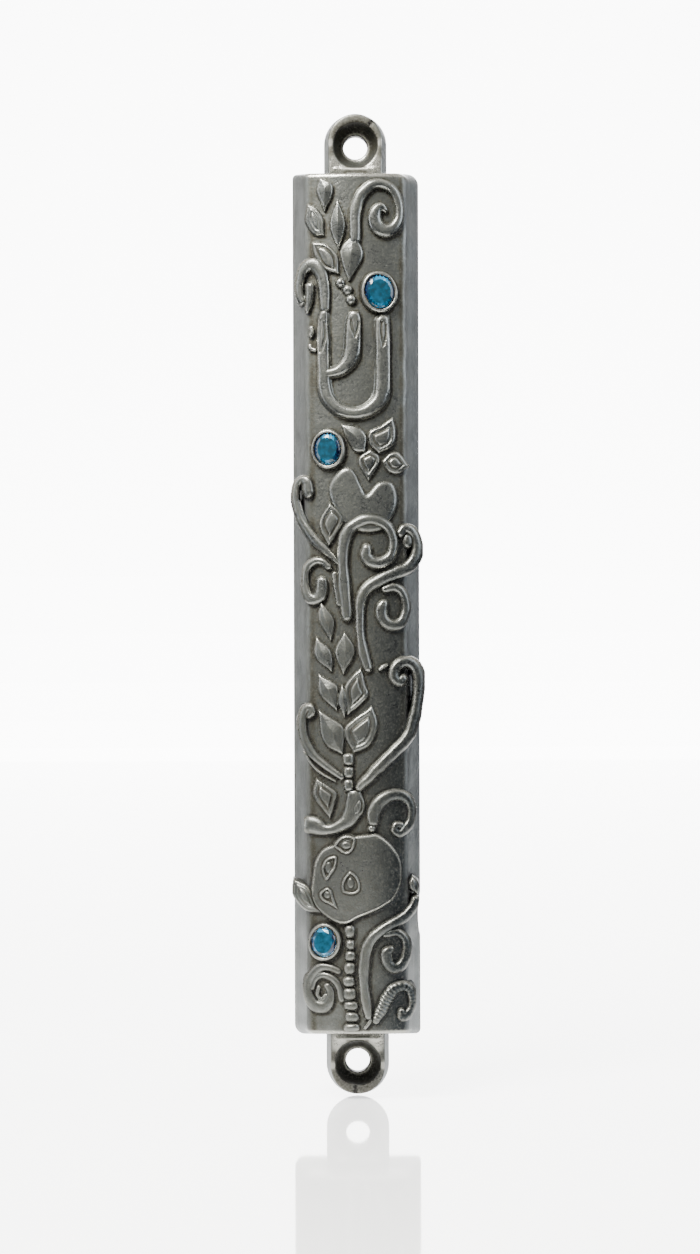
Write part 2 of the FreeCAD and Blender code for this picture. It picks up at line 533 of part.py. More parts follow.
def relief(outer, keep_clear):
    """Every raised motif, nearest the eye first; what lies under another motif is cut away."""
    fruit_seed = FRUIT_HIGH + SEED_HIGH
    motifs = [
        ("bead_trio", [(oval_face(*b), BEAD_HIGH) for b in BEAD_TRIO]),
        ("stem_barrels", [(oval_face(*b), BEAD_HIGH) for b in STEM_BARRELS]),
        ("bead_column", [(oval_face(*b), BEAD_HIGH) for b in BEAD_COLUMN]),
        ("calyx_bead", [(oval_face(*b), BEAD_HIGH) for b in CALYX_BEAD]),
        ("fruit_seeds", [(oval_face(*b), fruit_seed) for b in SEEDS]),
        ("vine_curl_bud", [(oval_face(*b), BEAD_HIGH) for b in VINE_BUD_RING]),
    ]
    motifs += [(name, [(leaf_face(*leaf), LEAF_HIGH) for leaf in leaves])
               for name, leaves in LEAVES.items()]
    motifs += [(name, [(line_face(line), high) for line in lines])
               for name, (high, lines) in LINES.items()]
    motifs += [("pomegranate", [(blob_face(FRUIT), FRUIT_HIGH)]),
               ("heart", [(blob_face(HEART), HEART_HIGH)])]

    taken = list(keep_clear)
    nodes = {}
    for name, outlines in motifs:
        shape = None
        for face, high in outlines:
            piece = raised(face, high, outer)
            shape = piece if shape is None else shape.fuse(piece)
        near = [t for t in taken if t.BoundBox.intersect(shape.BoundBox)]
        if near:
            shape = shape.cut(near)
        solids = [s for s in shape.removeSplitter().Solids if s.Volume > SMALLEST]
        nodes["relief_" + name] = Part.Compound(solids) if len(solids) > 1 else solids[0]
        taken += solids
    return nodes


def main():
    os.makedirs("parts", exist_ok=True)
    outer = case_outer()
    nodes = {
        "case_shell": case_shell(outer),
        "lug_top": lug(outer, 1),
        "lug_bottom": lug(outer, -1),
        "back_cover": back_cover(),
        "parchment_scroll": parchment(),
        "scroll_sleeve": sleeve(),
    }
    clear = []
    for place, (x, z, half_x, half_z) in STONES.items():
        pieces = stone_set(x, z, half_x, half_z, outer)
        clear.append(on_front(oval_block(half_x + BEZEL_WALL_X, half_z + BEZEL_WALL_Z, -WALL, 2 * BEZEL_HIGH), x, z))
        for kind, shape in pieces.items():
            nodes[f"{kind}_{place}"] = shape
    nodes.update(relief(outer, clear))
    for name, shape in nodes.items():
        solids = shape.Solids
        if not shape.isValid() or not solids:
            print("NOT VALID", name)
        shape.exportStep(f"parts/{name}.step")
        print(f"{name:26s} solids {len(solids):2d}  volume {sum(s.Volume for s in solids):9.2f}")


main()
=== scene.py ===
"""Looks of the mezuzah case: antiqued cast pewter, blue glass stones on foil, a black moulded
cover and a parchment roll in clear film, on a pale glossy floor.

Lengths are worked out in millimetres and turned to metres where a mesh is made.
The front of the case is a slice of a cylinder, and all relief is a height above that front.
"""

import math
from functools import partial

import bpy
import numpy as np
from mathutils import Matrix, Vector


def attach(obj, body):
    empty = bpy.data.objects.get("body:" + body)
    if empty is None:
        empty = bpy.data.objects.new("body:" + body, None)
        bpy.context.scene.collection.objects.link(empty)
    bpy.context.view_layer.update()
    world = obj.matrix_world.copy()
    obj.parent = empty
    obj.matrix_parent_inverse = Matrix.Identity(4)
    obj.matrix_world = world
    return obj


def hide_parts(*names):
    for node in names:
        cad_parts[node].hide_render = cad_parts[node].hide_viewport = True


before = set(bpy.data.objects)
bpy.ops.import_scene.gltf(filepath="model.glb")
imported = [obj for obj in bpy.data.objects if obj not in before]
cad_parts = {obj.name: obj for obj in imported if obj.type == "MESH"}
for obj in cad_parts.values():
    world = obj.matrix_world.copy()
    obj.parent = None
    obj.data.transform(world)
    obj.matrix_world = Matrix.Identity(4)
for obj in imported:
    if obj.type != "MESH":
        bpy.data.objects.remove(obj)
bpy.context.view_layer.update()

# ---- the casting, in millimetres ----
CROWN_R = 22.0
CASE_DEPTH = 11.0
CROWN_CENTRE = CROWN_R - CASE_DEPTH
HALF_WIDTH = 9.75
HALF_HEIGHT = 66.65  # at the wall
FRONT_HALF_HEIGHT = 65.25
CAVITY_HALF_HEIGHT = 64.2
DRAFT_ANGLE = math.radians(12.0)
DRAFT = math.tan(DRAFT_ANGLE)
SHOULDER_R = 1.2
WALL = 1.6
LEDGE_LEVEL = -1.3
REBATE_X = 8.76
REBATE_Z = 64.85
RELIEF_SUNK = 0.4  # how far the back of the relief lies under the front
SIDE_WEB = -6.2  # where the back of the relief lies along the sides
HOLE_Z = 70.5
ARCH_Z = 71.15
HOLE_R = 1.85
HOLE_LENGTH = 2.2
SINK_R = 3.45
LUG_DEPTH = 5.0
LUG_RIM = 0.12  # how far the lug's rim is rounded over
LUG_UNDERCUT = -0.06  # the level of the lug's root, just off the wall
LUG_R_WALL = 4.84
LUG_R_FRONT = 4.1
LUG_ROOT = 65.7
NOTCH_R = 4.0
NOTCH_Z = -48.0
NOTCH_DEEP = 1.7
MM = 0.001  # metres
PER_METRE = (1000, 1000, 1000)  # millimetres

# stones: place across and up, half width, half height, lean of the long axis in degrees
STONES = {
    "top": (3.45, 47.2, 2.25, 2.55, 12.0),
    "middle": (-4.15, 23.4, 2.05, 2.4, 0.0),
    "bottom": (-4.9, -51.3, 2.0, 2.3, -8.0),
}
BEZEL_WALL = 0.56
# how many facets go round each stone, and how much they differ in light
CUTS = {"top": (24, 0.07), "middle": (24, 0.07), "bottom": (12, 0.2)}
FLOOR_Z = -0.07612  # metres, just under the lower lug

# ---- relief lines: across, up and width along the middle of each; first the height above the front ----
LINES = {
    "shin": (1.15, [
        [(-0.25, 43.4, 2.0), (-0.25, 42.4, 2.5), (-0.25, 41.0, 2.7), (-0.4, 39.0, 2.6), (-0.9, 37.2, 2.4),
         (-1.8, 35.9, 1.9), (-3.0, 35.2, 1.5), (-4.3, 34.9, 1.3)],
        [(-4.9, 43.9, 1.3), (-4.95, 42.8, 1.5), (-5.0, 41.0, 1.8), (-5.0, 38.0, 1.9), (-4.95, 35.0, 1.95),
         (-4.85, 33.0, 2.0), (-4.3, 31.1, 1.9), (-3.0, 29.65, 1.8), (-1.4, 28.95, 1.75),
         (0.3, 28.85, 1.75), (2.0, 29.4, 1.9), (3.3, 30.6, 2.2), (4.1, 32.4, 2.4),
         (4.25, 35.0, 2.5), (4.2, 38.0, 2.5), (4.1, 41.0, 2.4), (4.05, 42.7, 2.1)],
    ]),
    "top_scroll": (1.0, [
        [(-0.1, 55.2, 1.5), (-0.1, 57.5, 1.75), (0.0, 59.5, 1.7), (0.45, 61.3, 1.6),
         (1.6, 62.9, 1.5), (3.2, 63.65, 1.4), (4.9, 63.3, 1.35), (6.15, 62.1, 1.3),
         (6.7, 60.2, 1.2), (6.55, 58.3, 1.3), (5.75, 57.0, 1.7), (4.5, 56.55, 2.0),
         (3.3, 57.15, 2.1), (2.85, 58.5, 1.9), (3.15, 59.7, 1.5), (3.9, 60.2, 1.2),
         (4.4, 59.7, 0.9)],
    ]),
    "left_scroll": (1.0, [
        [(-4.75, 44.9, 1.5), (-4.75, 46.6, 1.6), (-4.9, 48.5, 1.7), (-5.35, 50.2, 1.9),
         (-6.3, 51.4, 2.0), (-7.35, 51.4, 1.8), (-8.2, 50.3, 1.5), (-8.6, 48.5, 1.3),
         (-8.55, 47.0, 1.1), (-8.2, 46.0, 0.9)],
        [(-7.0, 48.1, 1.4), (-7.05, 47.0, 1.3), (-7.2, 45.5, 1.0), (-7.35, 44.5, 0.6)],
        [(-6.8, 41.9, 0.5), (-6.7, 41.2, 0.6), (-6.9, 40.7, 0.5)],
        [(-7.05, 39.2, 0.4), (-6.85, 38.7, 0.5), (-6.2, 38.5, 0.4)],
    ]),
    "central_spiral": (1.15, [
        [(-1.5, -1.9, 1.5), (-1.7, 0.0, 1.8), (-1.95, 3.0, 1.8), (-2.1, 6.0, 1.7),
         (-2.05, 8.5, 1.8), (-1.6, 10.5, 1.8), (-0.4, 11.95, 1.8), (1.4, 12.7, 1.8),
         (3.2, 12.55, 1.7), (4.7, 11.7, 1.5), (5.5, 10.1, 1.35), (5.6, 8.4, 1.35),
         (5.0, 6.9, 1.6), (3.7, 6.2, 1.7), (2.35, 6.3, 1.8), (1.45, 7.2, 1.8),
         (1.5, 8.3, 1.5)],
        [(-3.4, 4.5, 0.7), (-3.0, 2.0, 0.9), (-2.7, 0.0, 0.7)],
    ]),
    "left_vine": (1.1, [
        [(-2.9, 6.3, 0.7), (-3.7, 7.1, 0.9), (-4.6, 8.0, 1.2), (-6.0, 9.3, 1.4), (-7.3, 10.9, 1.4),
         (-8.4, 12.7, 1.3), (-9.1, 14.7, 1.2), (-9.3, 16.6, 1.1), (-9.1, 18.1, 1.0),
         (-8.4, 18.9, 1.1), (-7.6, 18.5, 1.6), (-7.4, 17.3, 1.7), (-7.35, 16.7, 1.3)],
        [(-3.2, 6.4, 0.1), (-5.0, 8.7, 0.15), (-6.6, 10.7, 0.15), (-7.9, 13.2, 0.15), (-8.6, 15.6, 0.1)],
    ]),
    "right_vine": (1.1, [
        [(1.7, -9.7, 1.3), (1.0, -7.5, 1.4), (0.6, -5.0, 1.3), (0.45, -2.5, 1.3),
         (0.55, 0.0, 1.4), (1.2, 1.9, 1.6), (2.6, 3.05, 1.8), (4.3, 3.95, 1.9),
         (6.1, 4.7, 1.9), (7.75, 5.5, 1.8), (8.9, 6.8, 1.7), (9.3, 8.4, 1.6),
         (9.1, 10.0, 1.5), (8.35, 11.1, 1.5), (7.4, 11.4, 1.4), (6.8, 10.7, 1.3)],
    ]),
    "small_spiral": (0.95, [
        [(-4.3, 5.6, 0.9), (-5.2, 6.35, 1.0), (-6.3, 6.5, 1.1), (-7.3, 5.85, 1.1),
         (-7.8, 4.3, 1.0), (-7.85, 2.6, 1.1), (-7.35, 1.2, 1.4), (-6.4, 0.65, 1.6),
         (-5.6, 1.3, 1.8), (-5.35, 2.4, 1.8), (-5.3, 3.4, 1.6)],
    ]),
    "right_spiral": (1.05, [
        [(4.3, 2.2, 1.0), (5.6, 2.5, 1.2), (6.8, 1.9, 1.3), (7.4, 0.6, 1.2),
         (7.5, -1.0, 1.2), (6.95, -2.6, 1.4), (5.8, -3.35, 1.6), (4.5, -2.95, 1.7),
         (3.85, -1.9, 1.8), (3.8, -0.8, 1.7), (4.05, -0.1, 1.3)],
    ]),
    "right_hook": (1.4, [
        [(0.3, -27.9, 1.0), (0.9, -27.2, 1.4), (1.8, -26.3, 1.6), (3.2, -24.9, 1.75), (4.9, -23.2, 1.8),
         (6.5, -21.7, 1.8), (7.9, -19.9, 1.8), (8.7, -17.7, 1.8), (9.15, -15.4, 1.6),
         (9.5, -13.0, 1.6), (9.45, -11.0, 1.75), (8.85, -9.55, 1.85), (7.6, -8.85, 1.75),
         (6.35, -9.2, 1.75), (5.7, -10.2, 1.6), (5.8, -11.3, 1.6), (6.5, -11.9, 1.6), (7.0, -11.4, 1.4)],
        [(3.5, -10.0, 0.4), (4.0, -9.6, 0.5), (4.5, -9.4, 0.4)],
    ]),
    "left_hook": (1.0, [
        [(-2.4, -26.3, 0.8), (-4.0, -25.1, 1.0), (-5.6, -23.9, 1.2), (-6.9, -22.6, 1.4),
         (-7.85, -21.0, 1.4), (-8.3, -19.2, 1.4), (-8.35, -17.3, 1.3), (-7.9, -16.0, 1.2),
         (-7.15, -15.8, 1.2), (-6.95, -16.5, 1.2), (-7.3, -17.0, 0.9)],
        [(-3.3, -26.9, 0.15), (-5.2, -25.9, 0.2), (-6.8, -24.5, 0.2), (-8.0, -22.6, 0.15)],
    ]),
    "calyx_scroll": (1.05, [
        [(2.4, -33.0, 1.6), (2.5, -31.7, 1.9), (3.3, -30.25, 2.0), (4.7, -29.3, 1.9),
         (6.4, -29.05, 1.7), (7.75, -29.8, 1.4), (8.3, -31.2, 1.1), (8.2, -32.8, 1.1),
         (7.4, -34.1, 1.3), (6.5, -34.9, 1.2), (5.7, -34.4, 1.1), (5.9, -33.6, 1.0), (6.7, -33.7, 0.9)],
    ]),
    "lower_vine": (1.05, [
        [(8.8, -45.0, 1.1), (8.4, -46.2, 1.4), (7.15, -47.5, 1.6), (5.5, -48.5, 1.6),
         (3.7, -49.5, 1.6), (2.2, -50.8, 1.6), (1.35, -52.6, 1.7), (1.0, -54.6, 1.7),
         (0.9, -56.8, 1.6), (1.05, -59.0, 1.5), (1.35, -61.0, 1.4), (1.6, -62.4, 1.2)],
        [(2.0, -63.0, 0.4), (1.6, -63.6, 0.5), (1.1, -64.3, 0.4)],
    ]),
    "lower_spiral": (1.05, [
        [(4.2, -50.2, 0.9), (5.9, -49.95, 1.1), (7.05, -50.65, 1.2), (7.5, -52.0, 1.2),
         (7.3, -53.7, 1.4), (6.6, -54.9, 1.6), (5.6, -55.35, 1.8), (4.75, -54.75, 1.8),
         (4.4, -53.7, 1.8), (4.5, -52.8, 1.6), (5.0, -52.4, 1.0)],
    ]),
    "ribbed_scroll": (1.1, [
        [(2.8, -63.1, 1.1), (3.6, -61.5, 1.7), (4.4, -60.0, 1.9), (5.4, -58.7, 1.9),
         (6.8, -58.1, 1.7), (7.85, -58.6, 1.4), (8.3, -59.9, 1.1), (8.25, -61.3, 1.1),
         (7.6, -62.3, 1.3), (6.9, -62.6, 1.6), (6.6, -61.9, 1.0)],
    ]),
    "bottom_scroll": (0.68, [
        [(-2.4, -60.0, 0.8), (-2.85, -58.2, 0.9), (-3.9, -56.9, 0.9), (-5.4, -56.4, 0.8),
         (-6.5, -57.1, 0.7), (-6.9, -58.3, 0.6)],
        [(-3.0, -55.7, 0.9), (-4.2, -55.2, 1.1), (-5.6, -55.2, 1.2), (-6.9, -56.2, 1.2), (-7.6, -57.9, 1.2),
         (-7.5, -59.6, 1.4), (-6.6, -60.9, 1.7), (-5.3, -61.2, 1.8), (-4.4, -60.4, 1.5), (-4.1, -59.0, 1.1),
         (-4.6, -58.0, 0.8)],
        [(-5.9, -58.2, 0.5), (-6.1, -59.3, 0.5), (-5.5, -60.0, 0.5), (-4.9, -59.4, 0.4)],
    ]),
    "branch": (0.85, [
        [(-7.2, -33.6, 2.6), (-6.4, -33.7, 2.6), (-5.3, -34.2, 1.8), (-4.3, -34.25, 1.5),
         (-3.0, -33.9, 1.7), (-1.6, -33.0, 2.1), (-0.6, -31.5, 2.6), (-0.4, -30.0, 2.6),
         (-0.4, -29.3, 2.4)],
    ]),
}

# Leaves: how the leaf is worked, tip, points down the right side, base, points up the left side.
LEAVES = {
    "top_leaves": [
        ("smooth", (-5.4, 64.6), [(-3.8, 63.8), (-3.55, 62.2)], (-4.7, 59.5), [(-5.85, 62.6)]),
        ("veined", (-7.3, 60.7), [(-6.1, 60.1), (-5.0, 58.4)], (-4.8, 55.9), [(-6.4, 56.1), (-7.6, 58.2)]),
        ("smooth", (-2.75, 61.2), [(-1.6, 57.5)], (-2.6, 53.8), [(-3.9, 57.5)]),
        ("cupped", (-6.6, 54.8), [(-4.4, 54.4), (-2.85, 52.6)], (-2.6, 50.0), [(-4.8, 50.7), (-6.1, 52.7)]),
        ("smooth", (-0.35, 56.1), [(1.05, 53.0)], (-1.0, 49.0), [(-2.35, 53.2)]),
    ],
    "flower_leaves": [
        ("smooth", (-2.2, 27.0), [(0.2, 26.7), (1.5, 25.1)], (1.3, 23.0), [(-0.3, 23.2), (-1.3, 24.8)]),
        ("cupped", (5.5, 28.2), [(6.0, 26.0), (5.4, 23.9)], (3.4, 22.8),
         [(2.1, 24.3), (2.0, 26.0), (3.8, 26.9)]),
        ("cupped", (2.15, 23.3), [(3.5, 21.8)], (1.8, 18.7), [(0.4, 21.8)]),
        ("cupped", (8.0, 20.9), [(6.4, 19.8), (4.9, 20.1)], (4.0, 21.6), [(5.2, 22.7), (6.5, 22.7)]),
    ],
    "heart_leaf": [
        ("cupped", (-4.1, 15.2), [(-2.5, 13.8), (-2.1, 12.2)], (-4.2, 8.8), [(-5.6, 12.0)]),
    ],
    "sprig_leaves": [
        ("smooth", (-5.4, 0.0), [(-3.9, -1.6), (-3.45, -3.0)], (-4.0, -5.5), [(-5.8, -2.4)]),
        ("smooth", (-6.1, -5.1), [(-4.2, -6.9), (-3.75, -8.5)], (-3.8, -10.3), [(-6.3, -8.0)]),
        ("smooth", (-1.9, -4.3), [(-0.3, -7.2)], (-2.1, -10.6), [(-3.2, -7.4)]),
        ("smooth", (-2.2, -12.4), [(-1.4, -14.5)], (-1.9, -17.2), [(-2.9, -14.6)]),
        ("smooth", (-5.8, -10.8), [(-3.3, -12.2), (-3.0, -13.8)], (-3.0, -16.2), [(-5.6, -13.7)]),
        ("cupped", (0.6, -9.8), [(1.1, -12.0), (1.6, -14.1)], (-1.4, -16.8),
         [(-1.8, -13.4), (-1.1, -11.5)]),
        ("smooth", (-5.8, -16.2), [(-2.6, -18.3), (-2.0, -20.3)], (-2.2, -22.8),
         [(-4.5, -21.6), (-5.5, -19.4)]),
        ("cupped", (2.2, -15.6), [(3.05, -18.5), (1.8, -21.5)], (-0.5, -22.6),
         [(-1.9, -19.4), (-0.4, -17.5)]),
    ],
    "branch_leaves": [
        ("cupped", (-6.2, -26.6), [(-3.4, -28.4), (-3.4, -30.2)], (-4.2, -32.5), [(-6.5, -29.2)]),
        ("cupped", (0.5, -28.8), [(1.1, -30.5), (0.7, -31.9)], (-0.8, -32.8), [(-1.0, -30.6)]),
    ],
    "side_leaf": [
        ("veined", (-9.6, -41.9), [(-7.3, -43.2)], (-5.6, -46.9), [(-8.0, -46.4), (-9.7, -44.4)]),
    ],
    "vine_bud": [
        ("smooth", (8.35, -41.5), [(9.0, -42.1), (9.3, -42.9)], (9.05, -44.1),
         [(8.2, -43.5), (7.9, -42.5)]),
    ],
}

HEART = [(-2.1, 20.5), (-0.95, 20.6), (0.0, 19.65), (0.7, 18.0), (1.45, 16.7), (2.4, 17.5), (3.55, 18.45),
         (4.95, 18.6), (5.9, 17.8), (6.3, 16.3), (6.1, 14.6), (5.2, 12.6), (3.6, 11.0), (1.0, 10.8),
         (-1.6, 12.0), (-3.1, 14.0), (-4.0, 15.9), (-4.2, 17.8), (-3.3, 19.5)]
FRUIT = [(1.8, -34.9), (3.2, -35.0), (4.9, -36.3), (6.3, -38.1), (6.85, -40.6), (6.6, -42.8),
         (5.4, -45.0), (3.2, -46.4), (0.4, -47.6), (-1.6, -48.5), (-3.2, -48.4),
         (-5.2, -47.2), (-6.6, -45.6), (-7.0, -43.6), (-6.8, -41.0), (-6.4, -38.9),
         (-5.2, -37.2), (-3.2, -36.3), (-0.6, -35.3)]
# the fruit's seeds: each outline, then the pip worked in its dip
SEEDS = [
    ([(-3.6, -36.5), (-2.2, -35.1), (-0.3, -35.4), (-0.4, -37.0), (-1.5, -38.0), (-3.0, -37.3)],
     (-1.65, -36.6, 0.85, 0.62)),
    ([(-3.15, -38.2), (-3.2, -40.0), (-4.0, -41.2), (-4.8, -41.9), (-5.5, -40.6), (-5.3, -39.4),
      (-4.5, -38.4)],
     (-4.35, -40.0, 0.6, 0.95)),
    ([(-1.0, -40.4), (0.25, -41.6), (0.5, -43.2), (-0.6, -44.1), (-2.3, -43.8), (-2.5, -42.5),
      (-1.9, -41.1)],
     (-1.05, -42.3, 0.6, 0.85)),
    ([(-4.7, -42.9), (-3.75, -43.5), (-3.4, -44.8), (-3.0, -46.3), (-4.2, -45.6), (-5.4, -45.0),
      (-5.85, -43.9)],
     (-4.6, -44.1, 0.6, 0.6)),
]
BEADS = {
    "bead_trio": [(-2.4, 48.65, 0.66, 0.66), (-1.3, 47.55, 0.72, 0.72), (-0.75, 46.1, 0.72, 0.72)],
    "calyx_bead": [(2.2, -34.15, 0.55, 0.55)],
    "vine_curl_bud": [(7.85, 9.5, 0.8, 1.1)],
}
# beads turned like barrels: middle across and up, half width, half height
BARRELS = {
    "stem_barrels": [(-1.35, -23.6, 0.86, 0.95), (-1.3, -25.6, 0.84, 0.88), (-1.3, -27.55, 0.84, 0.98)],
    "bead_column": [(-1.2, -49.65, 0.84, 1.08), (-1.15, -51.7, 0.84, 0.88), (-1.15, -53.4, 0.92, 0.84),
                    (-1.2, -55.3, 0.95, 1.02), (-1.35, -57.25, 1.0, 0.9), (-1.25, -59.15, 1.12, 1.0),
                    (-1.0, -60.95, 1.2, 0.8), (-0.9, -62.65, 1.2, 0.82), (-0.95, -64.25, 1.25, 0.7)],
}
# fine cuts in the tops of the letter's arms: across, up and width along each
ARM_CUTS = [
    [(-5.35, 42.9, 0.2), (-5.55, 40.5, 0.3), (-5.3, 38.2, 0.15)],
    [(-4.75, 42.6, 0.15), (-4.7, 40.5, 0.25), (-5.2, 38.4, 0.15)],
    [(-0.75, 43.0, 0.2), (-0.6, 41.8, 0.25), (-0.15, 40.4, 0.15)],
    [(0.35, 42.6, 0.2), (0.2, 41.6, 0.25), (-0.1, 40.4, 0.15)],
    [(3.9, 42.6, 0.2), (3.8, 41.0, 0.25), (4.1, 39.0, 0.15)],
    [(4.5, 42.2, 0.2), (4.5, 41.0, 0.25), (4.25, 39.2, 0.15)],
]


# ---------------------------------------------------------------- meshes

def linear(hex_colour):
    """An sRGB hex colour such as '#8d8f8c' as linear red, green, blue and full alpha."""
    parts = [int(hex_colour[i:i + 2], 16) / 255 for i in (1, 3, 5)]
    return [c / 12.92 if c <= 0.04045 else ((c + 0.055) / 1.055) ** 2.4 for c in parts] + [1.0]


def add_object(name, data):
    """Puts a mesh, a light or a camera in the scene as an object."""
    made = bpy.data.objects.new(name, data)
    bpy.context.scene.collection.objects.link(made)
    return made


def put_piece(name, points, quads, body, material, replaces, marks):
    """Makes a smooth mesh from arrays of millimetre points and quads, and fits it into the frame."""
    mesh = bpy.data.meshes.new(name)
    points = np.asarray(points, dtype=np.float64).reshape(-1, 3)
    quads = np.asarray(quads, dtype=np.int32).reshape(-1, 4)
    mesh.vertices.add(len(points))
    mesh.vertices.foreach_set("co", (points * MM).ravel())
    mesh.loops.add(quads.size)
    mesh.loops.foreach_set("vertex_index", quads.ravel())
    mesh.polygons.add(len(quads))
    mesh.polygons.foreach_set("loop_start", np.arange(0, quads.size, 4, dtype=np.int32))
    mesh.polygons.foreach_set("use_smooth", np.full(len(quads), True))
    mesh.update(calc_edges=True)
    for key, values in marks.items():
        layer = mesh.attributes.new(key, "FLOAT", "POINT")
        layer.data.foreach_set("value", np.asarray(values, dtype=np.float32).ravel())
    mesh.materials.append(material)
    piece = add_object(name, mesh)
    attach(piece, body)
    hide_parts(*replaces)
    return piece


def grid_quads(rows, columns, close_rows=False, close_columns=False):
    """Quads of a grid whose point (i, j) is i * columns + j; a closed way joins its end to its start."""
    i = np.arange(rows if close_rows else rows - 1)[:, None]
    j = np.arange(columns if close_columns else columns - 1)[None, :]
    i2, j2 = (i + 1) % rows, (j + 1) % columns
    return np.stack(np.broadcast_arrays(i * columns + j, i2 * columns + j,
                                        i2 * columns + j2, i * columns + j2), axis=-1).reshape(-1, 4)


def crown(x, high=0.0):
    """The y of a surface that stands a height above the case's front: a circle round the crown's axis."""
    return CROWN_CENTRE - np.sqrt((CROWN_R + high) ** 2 - x * x)


def ease(low, high, x):
    """A smooth step from 0 to 1 between two values."""
    t = np.clip((x - low) / (high - low), 0.0, 1.0)
    return t * t * (3 - 2 * t)


def smooth_path(points, per_span=7):
    """A Catmull-Rom curve through the points: a cubic for each span, set by the four points round it."""
    p = np.asarray(points, dtype=float)
    p = np.vstack([2 * p[0] - p[1], p, 2 * p[-1] - p[-2]])
    t = np.linspace(0, 1, per_span, endpoint=False)[None, :, None]
    a, b, c, d = (p[k:len(p) - 3 + k, None, :] for k in range(4))
    curve = 0.5 * (2 * b + (c - a) * t + (2 * a - 5 * b + 4 * c - d) * t**2
                   + (3 * b - a - 3 * c + d) * t**3)
    return np.vstack([curve.reshape(-1, p.shape[1]), p[-2]])


def closed_path(points):
    """The same curve through a loop of points."""
    per_span = 6
    p = np.asarray(points, dtype=float)
    return smooth_path(np.vstack([p[-1:], p, p[:2]]), per_span)[per_span:-per_span]


# ---------------------------------------------------------------- relief, as heights above the front

STEP = 0.08
ACROSS = np.arange(-10.08, 10.561, STEP)
UP = np.arange(-65.2, 65.21, STEP)
MARGIN = 0.9  # round each motif's window on the grid
SUNK = -30.0  # the height where a motif isn't
SKIRT = 0.5  # how far down a motif's steep sides are kept
UNDERLAP = 0.25  # how far a motif goes on under a higher neighbour
STEEP = 14.0  # the slope outside an outline
FULLER = 0.12  # each side of a line swells by this much where it meets the ground
LEAF_FULLER = 0.14  # the same for leaves and beads
RIB_PITCH = 0.55
VEIN_PITCH = 0.5
BEAD_HIGH = 0.95
TINY = 1e-12  # keeps a division by a length of nothing harmless


def window(points):
    """The part of the front's grid that holds these points with a margin round them."""
    p = np.asarray(points, dtype=float)[:, :2]
    low, high = p.min(axis=0) - MARGIN, p.max(axis=0) + MARGIN
    i = slice(*np.searchsorted(ACROSS, (low[0], high[0])))
    j = slice(*np.searchsorted(UP, (low[1], high[1])))
    return i, j


def uneven(x, z):
    """The slight wander of a hand-finished pattern: sums of waves 3 to 9 mm long, 0.05 mm high."""
    return (0.028 * np.sin(1.31 * z + 0.7 * x) + 0.022 * np.sin(0.71 * z - 1.9 * x + 1.0)
            + 0.018 * np.sin(2.05 * x + 1.7 * z + 2.0))


def inside_line(x, z, path):
    """How far inside a line of varying width each place is, the half width there, and how far along.

    For each span of the path, the nearest point of the span is found, and the distance to it is
    taken from the half width there. The span with the largest remainder counts.
    """
    p, q = path[:-1], path[1:]
    dx, dz = q[:, 0] - p[:, 0], q[:, 1] - p[:, 1]
    length2 = dx * dx + dz * dz + TINY
    ax, az = x[..., None] - p[:, 0], z[..., None] - p[:, 1]
    t = np.clip((ax * dx + az * dz) / length2, 0, 1)
    half = 0.5 * (p[:, 2] + (q[:, 2] - p[:, 2]) * t) + FULLER
    rest = half - np.hypot(ax - t * dx, az - t * dz)
    k = rest.argmax(axis=-1)[..., None]
    start = np.concatenate([[0.0], np.cumsum(np.sqrt(length2))[:-1]])
    along = start + t * np.sqrt(length2)
    pick = [np.take_along_axis(v, k, axis=-1)[..., 0] for v in (rest, half, along)]
    return pick[0], pick[1], pick[2]


def inside_loop(x, z, loop):
    """How far inside a closed outline each place is: the distance to it, negative outside.

    A place is inside if a line from it to the right crosses the outline an odd number of times.
    """
    p, q = loop, np.roll(loop, -1, axis=0)
    dx, dz = q[:, 0] - p[:, 0], q[:, 1] - p[:, 1]
    ax, az = x[..., None] - p[:, 0], z[..., None] - p[:, 1]
    t = np.clip((ax * dx + az * dz) / (dx * dx + dz * dz + TINY), 0, 1)
    away = np.hypot(ax - t * dx, az - t * dz).min(axis=-1)
    spans = (p[:, 1] > z[..., None]) != (q[:, 1] > z[..., None])
    slope = np.where(np.abs(dz) < 1e-9, 1e-9, dz)
    crossings = (spans & (ax < dx * az / slope)).sum(axis=-1)
    return np.where(crossings % 2 == 1, away, -away)


def rounded(d, reach, high, flat):
    """A rounded shape: a height of high * (1 - (1 - d/reach)^flat)^(1/2), and steep down outside."""
    t = np.clip(d / reach, 0, 1)
    return np.where(d > 0, high * np.sqrt(1 - (1 - t) ** flat), STEEP * d)


def cord_height(d, half, along, high):
    """A vine: a full rounded ridge, lower where it is thin."""
    lift = high * np.clip(0.5 + 0.5 * half / 0.8, 0.55, 1.05)
    return rounded(d, half, lift, 2.6)


def shin_height(d, half, along, high):
    """A stroke of the letter: a low lip round a broad rounded bar."""
    bar = rounded(d - 0.05, half * 0.95, high, 3.4)
    lip = rounded(d + 0.16, 0.3, 0.22, 2.0)
    return np.maximum(bar, lip)


def ribbed_height(d, half, along, high):
    """A vine with fine grooves across it, deep at its start and gone 12 mm along."""
    deep = 0.05 + 0.13 * ease(5.5, 3.5, along)
    wave = 0.5 + 0.5 * np.cos(2 * math.pi * along / RIB_PITCH)
    groove = deep * wave * ease(0.0, 0.3, d) * ease(12.0, 9.0, along)
    return cord_height(d, half, along, high) - groove


